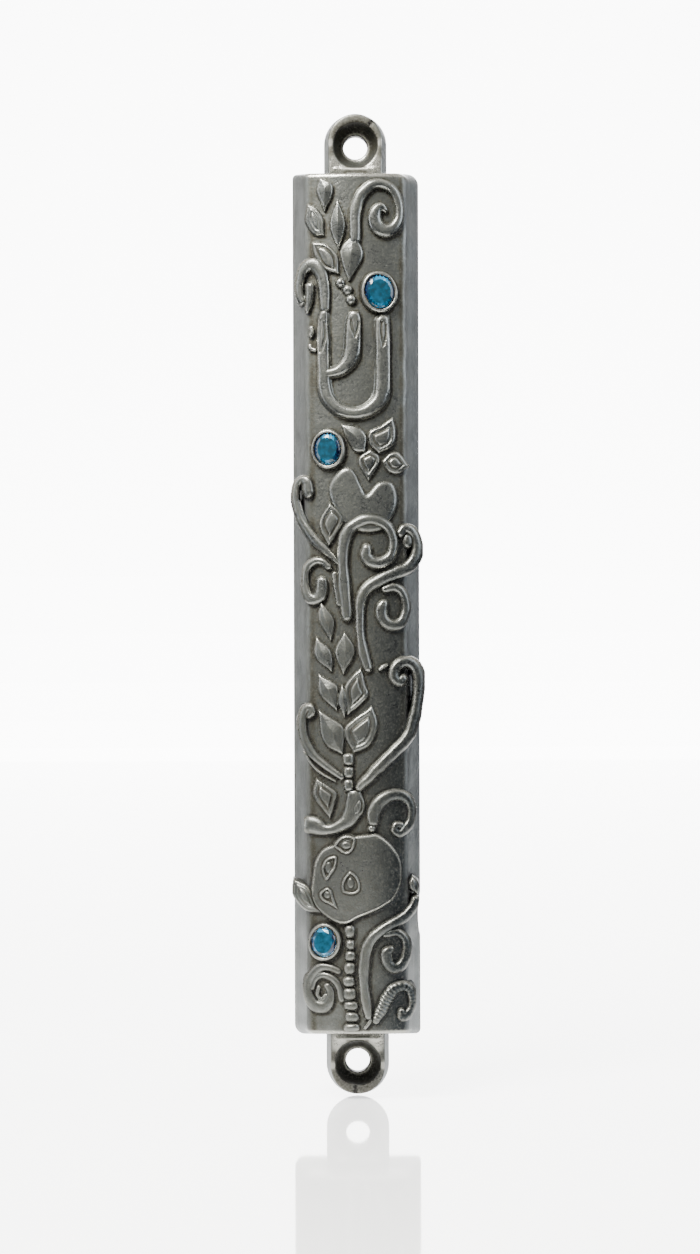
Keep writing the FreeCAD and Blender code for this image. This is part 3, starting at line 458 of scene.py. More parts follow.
def leaf_height(d, high):
    """A leaf in two tiers: a pad, a groove, and a step up to an inner leaf with a low spine."""
    widest = max(float(d.max()), 0.3)
    body = rounded(d, 0.5, high * 0.72, 2.2)
    groove = 0.2 * high * np.exp(-((d / widest - 0.47) / 0.13) ** 2)
    inner = 0.2 * high * ease(0.46, 0.64, d / widest) + 0.14 * high * (d / widest)
    return body + np.where(d > 0, inner - groove, 0)


def smooth_leaf_height(d, high):
    """A plain leaf: a smooth pad with a low spine."""
    widest = max(float(d.max()), 0.3)
    return rounded(d, 0.4, high * 0.62, 2.2) + np.where(d > 0, 0.42 * high * (d / widest), 0)


def veined_leaf_height(d, high):
    """A leaf of fine ridges that follow its outline."""
    ridges = 0.07 * high * (1 - np.cos(2 * math.pi * d / VEIN_PITCH)) * ease(0.2, 0.45, d)
    return smooth_leaf_height(d, high * 0.85) + ridges


LEAF_SHAPES = {"smooth": smooth_leaf_height, "cupped": leaf_height, "veined": veined_leaf_height}


def barrel_height(x, z, bead, high, square):
    """A turned bead, round from side to side; the higher `square` is, the straighter it is up and down."""
    across = np.abs(x - bead[0]) / bead[2]
    up = np.abs(z - bead[1]) / bead[3]
    full = 1 - (np.clip(across, 0, 3) ** 2.2 + np.clip(up, 0, 3) ** square)
    return np.where(full > 0, high * np.sqrt(np.maximum(full, 0)), 5 * full)


def seed_height(d, pip, high):
    """A seed on the fruit: a raised ring, a dip inside it, and a small pip in the dip."""
    ring = rounded(d, 0.4, high, 2.0)
    dip = 0.42 * ease(0.46, 0.66, d)
    return ring - np.where(d > 0, dip, 0) + rounded(np.clip(pip, 0, None), 0.5, 0.3, 2.0)


def fruit_height(d):
    """The fruit: a flat disc with a fine lip round it."""
    lip = 0.13 * np.exp(-((d - 0.22) / 0.13) ** 2)
    return rounded(d, 0.3, 1.02, 2.0) + np.where(d > 0, lip + 0.1 * ease(0.5, 5.0, d), 0)


def oval_loop(x, z, half_x, half_z):
    """An oval's outline, in 40 steps."""
    a = np.linspace(0, 2 * math.pi, 40, endpoint=False)
    return np.stack([x + half_x * np.cos(a), z + half_z * np.sin(a)], axis=-1)


def motif_heights():
    """Every motif's height on its own window of the front's grid, as name: [(window, height), ...]."""
    motifs = {}

    def add(name, loop_or_path, shape):
        w = window(loop_or_path)
        x, z = np.meshgrid(ACROSS[w[0]], UP[w[1]], indexing="ij")
        wander = uneven(x, z)
        motifs.setdefault(name, []).append((w, shape(x + wander, z + uneven(z, x))))

    def cut_arms(x, z, d, half, along, high):
        cuts = sum(np.clip(inside_line(x, z, smooth_path(cut))[0] / 0.1, 0, 1) for cut in ARM_CUTS)
        return shin_height(d, half, along, high) - 0.24 * np.where(d > 0.1, np.minimum(cuts, 1), 0)

    for name, (high, lines) in LINES.items():
        profile = {"ribbed_scroll": ribbed_height}.get(name, cord_height)
        for line in lines:
            path = smooth_path(line)
            if name == "shin":
                add(name, path, lambda x, z, p=path, h=high: cut_arms(x, z, *inside_line(x, z, p), h))
            else:
                add(name, path, lambda x, z, p=path, f=profile, h=high: f(*inside_line(x, z, p), h))
    for name, leaves in LEAVES.items():
        for worked, tip, right, base, left in leaves:
            profile = LEAF_SHAPES[worked]
            loop = np.vstack([smooth_path([tip, *right, base])[:-1], smooth_path([base, *left, tip])[:-1]])
            add(name, loop, lambda x, z, p=loop, f=profile: f(inside_loop(x, z, p) + LEAF_FULLER, 1.0))
    for name, beads in BEADS.items():
        for bead in beads:
            loop = oval_loop(*bead)
            add(name, loop, lambda x, z, p=loop, r=min(bead[2:]): rounded(
                inside_loop(x, z, p) + LEAF_FULLER, r + LEAF_FULLER, BEAD_HIGH, 2.2))
    for name, beads in BARRELS.items():
        square = 5.0 if name == "stem_barrels" else 2.8
        for bead in beads:
            add(name, oval_loop(*bead), lambda x, z, b=bead, e=square: barrel_height(x, z, b, BEAD_HIGH, e))
    fruit = closed_path(FRUIT)
    add("pomegranate", fruit, lambda x, z: fruit_height(inside_loop(x, z, fruit)))
    for outline, pip in SEEDS:
        loop, spot = closed_path(outline), oval_loop(*pip)
        add("fruit_seeds", loop, lambda x, z, p=loop, q=spot: seed_height(
            inside_loop(x, z, p) + 0.1, inside_loop(x, z, q), 1.5))
    heart = closed_path(HEART)
    add("heart", heart, lambda x, z: rounded(inside_loop(x, z, heart), 0.9, 0.72, 2.2))
    return motifs


def blurred(field, reach):
    """Three passes of a moving average each way, close to a bell-shaped blur."""
    out = field
    n = max(1, int(round(reach / STEP)))
    for axis in (0, 1):
        for _ in range(3):
            pad = [(n + 1, n) if a == axis else (0, 0) for a in (0, 1)]
            total = np.cumsum(np.pad(out, pad, mode="edge"), axis=axis)
            size = field.shape[axis]
            far = np.take(total, np.arange(2 * n + 1, 2 * n + 1 + size), axis=axis)
            near = np.take(total, np.arange(0, size), axis=axis)
            out = (far - near) / (2 * n + 1)
    return out


GRID_X, GRID_Z = np.meshgrid(ACROSS, UP, indexing="ij")
TOTAL = np.full_like(GRID_X, SUNK)
OWN = {}
for motif, parts in motif_heights().items():
    field = np.full_like(TOTAL, SUNK)
    for (wi, wj), h in parts:
        field[wi, wj] = np.maximum(field[wi, wj], h)
    OWN[motif] = field
    TOTAL = np.maximum(TOTAL, field)

# the bezels count as raised for the patina, though they are pieces of their own
LEVEL = np.maximum(TOTAL, 0.0)
for sx, sz, shx, shz, _ in STONES.values():
    near = ((GRID_X - sx) / (shx + BEZEL_WALL)) ** 2 + ((GRID_Z - sz) / (shz + BEZEL_WALL)) ** 2 < 1
    LEVEL = np.where(near, 1.0, LEVEL)


def under(level, full, less=0.0):
    """How far each place lies under a level, from 0 to 1: (level - LEVEL) / full - less, clipped."""
    return np.clip((level - LEVEL) / full - less, 0, 1)


# blacking is thickest at the foot of the relief; slopes that face down and right get painted shade and
# slopes that face up and left a painted highlight, as if lit from the upper left, and edges are worn
# brighter
SLOPE_X, SLOPE_Z = np.gradient(blurred(LEVEL, 0.1), STEP)
STEEPNESS = np.sqrt(1 + SLOPE_X**2 + SLOPE_Z**2)
FACING = (0.5 * SLOPE_X - 0.87 * SLOPE_Z) / STEEPNESS
LOW = ease(0.16, 0.02, LEVEL)
FOOT = under(blurred(LEVEL, 0.17), 0.32) * LOW
SHADED = under(blurred(LEVEL, 0.34), 0.4) * LOW
# painted shadow: darker 0.3 mm to the right of each shape and 0.4 mm under it, as if cast by a light at the
# upper left
PAINTED_SHADOW = under(blurred(np.roll(LEVEL, (4, -5), axis=(0, 1)), 0.1), 0.6) * LOW
GROOVES = under(blurred(LEVEL, 0.2), 0.12, 0.1) * ease(0.35, 0.6, LEVEL)
# blacking at the foot of the relief and in grooves, plus painted shadow and painted shade on slopes that
# face down and right
BLACKING_AND_SHADE = np.clip(0.4 * FOOT + 0.15 * SHADED + 0.6 * PAINTED_SHADOW + 0.5 * GROOVES
                 + 0.75 * np.clip(-FACING, 0, 1) ** 2 * ease(0.7, 0.15, LEVEL), 0, 1)
DEEP = under(blurred(LEVEL, 0.8), 0.8) * LOW
CREST = np.clip((LEVEL - blurred(LEVEL, 0.2) - 0.02) / 0.15, 0, 1)
# crests worn bright, with a painted highlight added where they face up and left
WORN_AND_HIGHLIGHT = np.clip(CREST * (0.28 + 1.1 * np.clip(FACING, 0, 1) ** 0.7), 0, 1)


def sample(field, x, z):
    """Reads a field of the front's grid at any places, by the nearest grid point."""
    i = np.clip(np.rint((x - ACROSS[0]) / STEP).astype(int), 0, len(ACROSS) - 1)
    j = np.clip(np.rint((z - UP[0]) / STEP).astype(int), 0, len(UP) - 1)
    return field[i, j]


def relief_piece(name, field, material):
    """One motif as a closed cushion: its top is the crown plus its height, its back is sunk in the casting.

    Outside the outline the top falls steeply to the back, which lies a little under the front, or
    goes back to the web along the side where the motif hangs past the shoulder.
    """
    front = crown(GRID_X)
    past = ease(6.5, 7.3, np.abs(GRID_X))
    back = front + RELIEF_SUNK * (1 - past) + (SIDE_WEB - front) * past
    top = np.where(field > 0, crown(GRID_X, np.maximum(field, 0)), front - field)
    top = np.minimum(top, back)
    use = (field > -SKIRT) & (field > TOTAL - UNDERLAP) & (top < back - 1e-6)
    use[[0, -1], :] = False
    use[:, [0, -1]] = False
    ci, cj = np.nonzero(use[:-1, :-1] | use[1:, :-1] | use[1:, 1:] | use[:-1, 1:])
    n = len(UP)
    corners = np.stack([ci * n + cj, (ci + 1) * n + cj, (ci + 1) * n + cj + 1, ci * n + cj + 1], axis=-1)
    ids, quads = np.unique(corners, return_inverse=True)
    quads = quads.reshape(-1, 4)
    keep = use.ravel()[ids]  # the other corners lie on the outline, where the top meets the back
    x, z, t, b = (values.ravel()[ids] for values in (GRID_X, GRID_Z, top, back))
    top_points = np.stack([x, np.where(keep, t, b), z], axis=-1)
    back_points = np.stack([x, b, z], axis=-1)
    count = len(ids)
    back_id = np.where(keep, np.cumsum(keep) - 1 + count, np.arange(count))
    points = np.vstack([top_points, back_points[keep]])
    faces = np.vstack([quads, back_id[quads][:, ::-1]])
    faces = faces[(faces != np.roll(faces, 1, axis=1)).all(axis=1)]
    flat_back = np.zeros(int(keep.sum()))
    marks = {
        "blacking_and_shade": np.concatenate([BLACKING_AND_SHADE.ravel()[ids], flat_back + 1]),
        "deep": np.concatenate([DEEP.ravel()[ids], flat_back + 1]),
        "worn_and_highlight": np.concatenate([WORN_AND_HIGHLIGHT.ravel()[ids], flat_back]),
        "side": np.zeros(len(points)),
    }
    return put_piece(name + "_cast", points, faces, "case", material,
                     ("relief_" + name,), marks)


# ---------------------------------------------------------------- materials

def feed(tree, node, inputs):
    """Sets or links inputs, by number or name: each is a value, a hex colour or another node's output."""
    for key, value in inputs.items():
        if isinstance(value, bpy.types.NodeSocket):
            tree.links.new(value, node.inputs[key])
        else:
            node.inputs[key].default_value = linear(value) if isinstance(value, str) else value


def add_node(tree, kind, *values, inputs=None, output=0, stops=(), **settings):
    """Adds a shader node and returns one of its outputs, or the node itself if it has none.

    The kind can have an operation after a dot. The values go to the first inputs in turn, and
    `inputs` has the others. A colour ramp's stops are (place, hex colour).
    """
    kind, _, operation = kind.partition(".")
    made = tree.nodes.new("ShaderNode" + kind)
    if operation:
        made.operation = operation
    for key, value in settings.items():
        setattr(made, key, value)
    feed(tree, made, {**dict(enumerate(values)), **(inputs or {})})
    if stops:
        elements = made.color_ramp.elements
        while len(elements) < len(stops):
            elements.new(0.5)
        for element, (place, colour) in zip(elements, stops):
            element.position = place
            element.color = linear(colour)
    return made.outputs[output] if made.outputs else made


def new_material(name):
    """A material and its node tree, its principled shader, and the place on the object in metres."""
    material = bpy.data.materials.new(name)
    material.use_nodes = True
    tree = material.node_tree
    tree.nodes.clear()
    shader = add_node(tree, "BsdfPrincipled")
    add_node(tree, "OutputMaterial", shader)
    return material, tree, shader.node, add_node(tree, "TexCoord", output="Object")


def antiqued_pewter():
    """Cast pewter, blackened and polished back: dark olive in the recesses, grey flats, bright edges.

    The marks that it reads also hold painted shade, painted shadow and painted highlights. The drafted
    sides carry upright brush marks and are a cooler grey, because no blacking is left there.
    """
    material, tree, shader, place = new_material("antiqued_cast_pewter")
    add = partial(add_node, tree)
    blacking_and_shade, deep, worn_and_highlight, side = (add("Attribute", attribute_name=mark, output="Fac")
                                  for mark in ("blacking_and_shade", "deep", "worn_and_highlight", "side"))
    mm = add("VectorMath.MULTIPLY", place, PER_METRE)
    upright = add("VectorMath.MULTIPLY", place, (4200, 4200, 130))
    # sand-cast grain 0.33 mm across, pin holes 0.15 mm across that hold the blacking, cloudy stains
    # 4 mm across, and brush marks 0.24 mm apart and 8 mm long
    grain, pits, stain, streak = (
        add("TexNoise", inputs={"Vector": vector, "Scale": scale, "Detail": detail, "Roughness": 0.62})
        for vector, scale, detail in ((mm, 3.0, 5.0), (mm, 6.5, 2.0), (mm, 0.28, 4.0), (upright, 1.0, 4.0)))

    # how dark the metal is: blacking with painted shade and shadow round the relief, and blacking in
    # clouds, in specks and in pin holes
    cloud = add("Math.MULTIPLY_ADD", stain, 0.9, -0.45)
    specks = add("Math.MULTIPLY_ADD", grain, 0.9, -0.45)
    pin = add("Math.MULTIPLY", add("Math.SUBTRACT", pits, 0.62, use_clamp=True), 3.0)
    dark = add("Math.MULTIPLY_ADD", deep, 0.22, blacking_and_shade)
    dark = add("Math.ADD", add("Math.ADD", dark, cloud), add("Math.ADD", specks, pin))
    # darker towards the foot, and blue-black at the lower right: these stand in for the dimmer room
    # that the real metal reflects there, so they stay where they are from any side
    along = add("SeparateXYZ", place).node.outputs
    low = add("Math.MULTIPLY_ADD", along["Z"], -12.5, 0.44, use_clamp=True)
    right = add("Math.MULTIPLY_ADD", along["X"], 230.0, -0.35, use_clamp=True)
    front = add("Math.SUBTRACT", 1.0, side, use_clamp=True)
    front_right = add("Math.MULTIPLY", add("Math.MULTIPLY", right, low), front)
    dark = add("Math.ADD", dark, add("Math.MULTIPLY_ADD", low, 0.1, 0.17), use_clamp=True)
    # how bright: worn edges with their painted highlights, and light specks in the grain
    bright = add("Math.MULTIPLY_ADD", worn_and_highlight, 1.25, specks, use_clamp=True)

    # the colour: blacking and painted shade over the grey, then the painted reflection at the lower right,
    # worn edges with painted highlights, and bare flanks over that
    colour = add("ValToRGB", dark, stops=[(0.0, "#818381"), (0.3, "#696b67"), (0.62, "#403e34"),
                                          (1.0, "#14130e")])
    for share, most, tone in ((front_right, 0.85, "#1c2429"), (bright, 0.95, "#bdbcb4"),
                              (side, 0.8, "#a3a7a9")):
        colour = add("Mix", add("Math.MULTIPLY", share, most), inputs={6: colour, 7: tone}, output=2,
                     data_type="RGBA")
    brush_marks_and_low_shade = add("Math.MULTIPLY_ADD", add("Math.MULTIPLY_ADD", streak, 1.3, -0.65), side, 1.0)
    # painted shade: the colour is also darker towards the foot
    brush_marks_and_low_shade = add("Math.MULTIPLY", brush_marks_and_low_shade, add("Math.MULTIPLY_ADD", low, -0.38, 1.0))

    rough = add("Math.MULTIPLY_ADD", dark, 0.3, add("Math.MULTIPLY_ADD", grain, 0.16, 0.2))
    rough = add("Math.ADD", rough, add("Math.MULTIPLY", side, 0.12))
    lumps = add("Math.MULTIPLY_ADD", grain, 0.05, add("Math.MULTIPLY", stain, 0.16))
    lumps = add("Math.ADD", lumps, add("Math.MULTIPLY", add("Math.MULTIPLY", streak, side), 0.03))
    feed(tree, shader, {
        "Base Color": add("VectorMath.MULTIPLY", colour, brush_marks_and_low_shade),
        "Metallic": add("Math.SUBTRACT", 1.0, add("Math.MULTIPLY", dark, 0.5)),
        "Roughness": add("Math.SUBTRACT", rough, add("Math.MULTIPLY", bright, 0.1)),
        "Normal": add("Bump", inputs={"Height": lumps, "Strength": 0.75, "Distance": MM}),
    })
    return material


def sapphire_glass():
    """Pressed glass tinted sapphire over bright foil: each facet's own blue is painted light, under a wet
    shine.
    """
    material, tree, shader, place = new_material("sapphire_pressed_glass")
    add = partial(add_node, tree)
    light = add("Attribute", attribute_name="returned_light", output="Fac")
    # the foil's crinkles, 0.7 mm apart
    mm = add("VectorMath.MULTIPLY", place, PER_METRE)
    crinkle = add("TexNoise", inputs={"Vector": mm, "Scale": 1.4, "Detail": 3.0})
    mixed = add("Math.ADD", light, add("Math.MULTIPLY_ADD", crinkle, 0.22, -0.11), use_clamp=True)
    colour = add("ValToRGB", mixed, stops=[(0.0, "#02041a"), (0.2, "#06203f"), (0.42, "#0f323f"),
                                           (0.66, "#17719a"), (0.84, "#3a7d9c"), (1.0, "#a4c8d8")])
    feed(tree, shader, {"Base Color": colour, "Roughness": 0.06, "IOR": 1.52})
    return material


def plain_finish(name, low, high, spacing, roughness, metallic=0.0, transmission=0.0, grain_deep=0.01):
    """A moulded or rolled finish: two close colours in a grain some spacing millimetres across."""
    material, tree, shader, place = new_material(name)
    add = partial(add_node, tree)
    mm = add("VectorMath.MULTIPLY", place, PER_METRE)
    grain = add("TexNoise", inputs={"Vector": mm, "Scale": 1 / spacing, "Detail": 4.0})
    height = add("Math.MULTIPLY", grain, grain_deep)
    feed(tree, shader, {
        "Base Color": add("ValToRGB", grain, stops=[(0.3, low), (0.7, high)]),
        "Normal": add("Bump", inputs={"Height": height, "Strength": 0.5, "Distance": MM}),
        "Roughness": roughness, "Metallic": metallic, "Transmission Weight": transmission,
    })
    return material


def finish_kept_nodes():
    """Gives the pieces whose CAD shape is kept the finish of what they are made of."""
    moulded = plain_finish("moulded_black_polystyrene", "#17181a", "#232527", 0.35, 0.42, grain_deep=0.05)
    parchment = plain_finish("scraped_parchment", "#d9c79c", "#efe3c3", 2.5, 0.62, grain_deep=0.03)
    film = plain_finish("clear_polypropylene_film", "#eef2f2", "#ffffff", 6.0, 0.12, transmission=0.9)
    foil = plain_finish("silvered_foil", "#bcd6e4", "#e8f4fa", 0.5, 0.22, metallic=1.0)
    glue = plain_finish("cured_epoxy", "#8d8261", "#a89a74", 1.0, 0.2, transmission=0.3)
    finishes = {"back_cover": moulded, "parchment_scroll": parchment, "scroll_sleeve": film}
    for place in STONES:
        finishes["foil_" + place] = foil
        finishes["glue_" + place] = glue
    for name, finish in finishes.items():
        for slot in bpy.data.objects[name].material_slots:
            slot.material = finish


# ---------------------------------------------------------------- the case

def section(half_width, depth, crown_r, shoulder_r, rim_left, rim_right):
    """The case's outline from above, from the left rim round the front to the right rim.

    Drafted straight sides start at each rim's level, then a round shoulder touches the side and the
    crown, then the crown arc. rim_left and rim_right are arrays of levels, one for each row, and the
    result has a row for each of them.
    """
    c, s = math.cos(DRAFT_ANGLE), math.sin(DRAFT_ANGLE)
    centre = crown_r - depth
    side = half_width * c - shoulder_r
    a = 1 + (s / c) ** 2
    b = 2 * side * s / c**2 - 2 * centre
    k = (side / c) ** 2 + centre**2 - (crown_r - shoulder_r) ** 2
    fy = (-b - math.sqrt(b * b - 4 * a * k)) / (2 * a)
    fx = (side + s * fy) / c
    reach = crown_r / (crown_r - shoulder_r)
    on_crown = (fx * reach, centre + (fy - centre) * reach)
    on_side = (fx + shoulder_r * c, fy - shoulder_r * s)
    start = -DRAFT_ANGLE
    stop = math.atan2(on_crown[1] - fy, on_crown[0] - fx)
    side_n, round_n, crown_n = 14, 9, 60  # points on a side, on a shoulder and on the crown

    def half_outline(rim):
        t = np.linspace(0, 1, side_n, endpoint=False)
        y = rim[:, None] + (on_side[1] - rim[:, None]) * t
        x = half_width - np.abs(y) * DRAFT
        turn = np.linspace(start, stop, round_n, endpoint=False)
        x = np.hstack([x, np.tile(fx + shoulder_r * np.cos(turn), (len(rim), 1))])
        y = np.hstack([y, np.tile(fy + shoulder_r * np.sin(turn), (len(rim), 1))])
        return x, y

    lean = math.atan2(on_crown[0], centre - on_crown[1])
    angle = np.linspace(-lean, lean, crown_n)
    mid_x = np.tile(crown_r * np.sin(angle), (len(rim_left), 1))
    mid_y = np.tile(centre - crown_r * np.cos(angle), (len(rim_left), 1))
    lx, ly = half_outline(rim_left)
    rx, ry = half_outline(rim_right)
    return np.hstack([-lx, mid_x, rx[:, ::-1]]), np.hstack([ly, mid_y, ry[:, ::-1]])


def skin(half_width, depth, crown_r, shoulder_r, half_height, rim, corners, soft, heights, draft=0.0):
    """A channel with closed ends as one grid: an end wall, a rounded edge, the walls, and the same again.

    Each end wall is ruled from the rim's straight line to the outline. Towards an end the outline
    draws in by r - sqrt(r^2 - (r - e)^2), where e is the distance to the end and r the radius of
    that corner (bottom left, bottom right, top left, top right), and in depth by the same with soft.
    The ends lean out by draft for each millimetre towards the wall. Columns run left to right over
    the front. Returns points with shape (rows, columns, 3).
    """
    reach = max(corners)
    from_end = reach * (1 - np.sin(np.linspace(0, math.pi / 2, 10)))[::-1]
    walls_z = heights[np.abs(heights) < half_height - reach - 0.05]
    z = np.concatenate([from_end - half_height, walls_z, half_height - from_end[::-1]])
    e = half_height - np.abs(z)

    def drawn_in(r):
        return r - np.sqrt(np.maximum(r * r - np.maximum(r - e, 0) ** 2, 0))

    left = np.where(z < 0, drawn_in(corners[0]), drawn_in(corners[2]))
    right = np.where(z < 0, drawn_in(corners[1]), drawn_in(corners[3]))
    notch = NOTCH_DEEP - NOTCH_R + np.sqrt(np.maximum(NOTCH_R**2 - (z - NOTCH_Z) ** 2, 0))
    right_rim = np.minimum(rim, -np.where(np.abs(z - NOTCH_Z) < NOTCH_R, np.maximum(notch, 0), 0))
    x, y = section(half_width, depth, crown_r, shoulder_r, np.full_like(z, rim), right_rim)
    share = ease(-0.7 * half_width, 0.7 * half_width, x)
    x = x * (1 - (left[:, None] * (1 - share) + right[:, None] * share) / half_width)
    y = rim + (y - rim) * (1 - drawn_in(soft) / depth)[:, None]
    tall = z[:, None] + np.sign(z)[:, None] * draft * (depth + y) * ease(54.0, 62.0, np.abs(z))[:, None]
    points = np.stack([x, y, tall], axis=-1)

    def end_wall(row):
        line_x = np.linspace(row[0, 0], row[-1, 0], len(row))
        line = np.stack([line_x, np.full(len(row), rim), np.full(len(row), row[0, 2])], axis=-1)
        t = np.linspace(0, 1, 8, endpoint=False)[:, None, None]
        return line[None] * (1 - t) + row[None] * t

    return np.concatenate([end_wall(points[0]), points, end_wall(points[-1])[::-1]])


def rim_loop(rows, columns):
    """The indices round a skin's open back: up the left edge, over the top, down the right, and back."""
    i, j = np.arange(rows), np.arange(columns)
    return np.concatenate([i[:-1] * columns, (rows - 1) * columns + j[:-1],
                           i[:0:-1] * columns + columns - 1, j[:0:-1]])


def case_casting(material):
    """The case, open at the back: outer skin, flat rim, rebate and ledge for the cover, and the cavity's
    skin.
    """
    heights = np.arange(-64.8, 64.81, 0.32)
    draft = (HALF_HEIGHT - FRONT_HALF_HEIGHT) / CASE_DEPTH
    outer = skin(HALF_WIDTH, CASE_DEPTH, CROWN_R, SHOULDER_R, FRONT_HALF_HEIGHT, 0.0,
                 (1.6, 0.8, 0.7, 1.8), 0.45, heights, draft)
    inner_half = HALF_WIDTH - WALL / math.cos(DRAFT_ANGLE)
    inner = skin(inner_half, CASE_DEPTH - WALL, CROWN_R - WALL, 0.5, CAVITY_HALF_HEIGHT,
                 LEDGE_LEVEL, (0.3, 0.3, 0.3, 0.3), 0.3, heights)
    rows, columns, _ = outer.shape
    # the cavity has more rows than the outside, and gives them up in a straight stretch
    inner = np.delete(inner, 40 + np.arange(len(inner) - rows), axis=0)
    # the sides aren't quite straight, and wander by about 0.15 mm
    x, y, z = np.moveaxis(outer, -1, 0)
    wave = 0.09 * np.sin(0.31 * z) + 0.06 * np.sin(1.07 * z + 1.0)
    outer[..., 0] -= (np.sign(x) * (0.12 + wave) * ease(6.6, 8.6, np.abs(x))
                      * ease(-0.5, -4.5, y) * ease(65.0, 62.0, np.abs(z)))
    count = rows * columns
    loop = rim_loop(rows, columns)
    edge = outer.reshape(-1, 3)[loop]
    inner_edge = inner.reshape(-1, 3)[loop]
    rebate = np.stack([edge[:, 0] * REBATE_X / HALF_WIDTH, edge[:, 1],
                       edge[:, 2] * REBATE_Z / HALF_HEIGHT], axis=-1)
    floor = np.stack([rebate[:, 0], inner_edge[:, 1], rebate[:, 2]], axis=-1)
    m = len(loop)
    points = np.vstack([outer.reshape(-1, 3), inner.reshape(-1, 3), rebate, floor])
    ring_ids = [loop, 2 * count + np.arange(m), 2 * count + m + np.arange(m), count + loop]
    quads = [grid_quads(rows, columns)[:, [0, 3, 2, 1]], grid_quads(rows, columns) + count]
    for a, b in zip(ring_ids, ring_ids[1:]):
        quads.append(np.stack([a, np.roll(a, -1), np.roll(b, -1), b], axis=-1))
    x, y, z = points.T
    outside = np.arange(len(points)) < count
    front = outside & (y < -8.5)
    # the ground is darkest in a band beside each shoulder; the narrow band 7.5 mm out is painted shade
    # along the shoulder
    band = np.exp(-((x - 6.9) / 0.45) ** 2) * 0.4 + np.exp(-((x + 6.7) / 0.5) ** 2) * 0.3
    band += np.exp(-((np.abs(x) - 7.5) / 0.25) ** 2) * 0.3
    marks = {
        # the front takes the relief's blacking, painted shadow and painted shade
        "blacking_and_shade": np.where(front, np.clip(sample(BLACKING_AND_SHADE, x, z) + band, 0, 1),
                           np.where(outside, 0, 0.25)),
        "deep": np.where(front, sample(DEEP, x, z), np.where(outside, 0, 0.2)),
        # the front's end edges are worn bright, with a painted highlight
        "worn_and_highlight": np.where(outside & (y < -7.0), ease(64.7, 65.1, np.abs(z)) * 0.9, 0),
        "side": np.where(outside, ease(6.9, 8.3, np.abs(x)), 0),
    }
    return put_piece("case_casting", points, np.vstack(quads), "case", material,
                     ("case_shell",), marks)


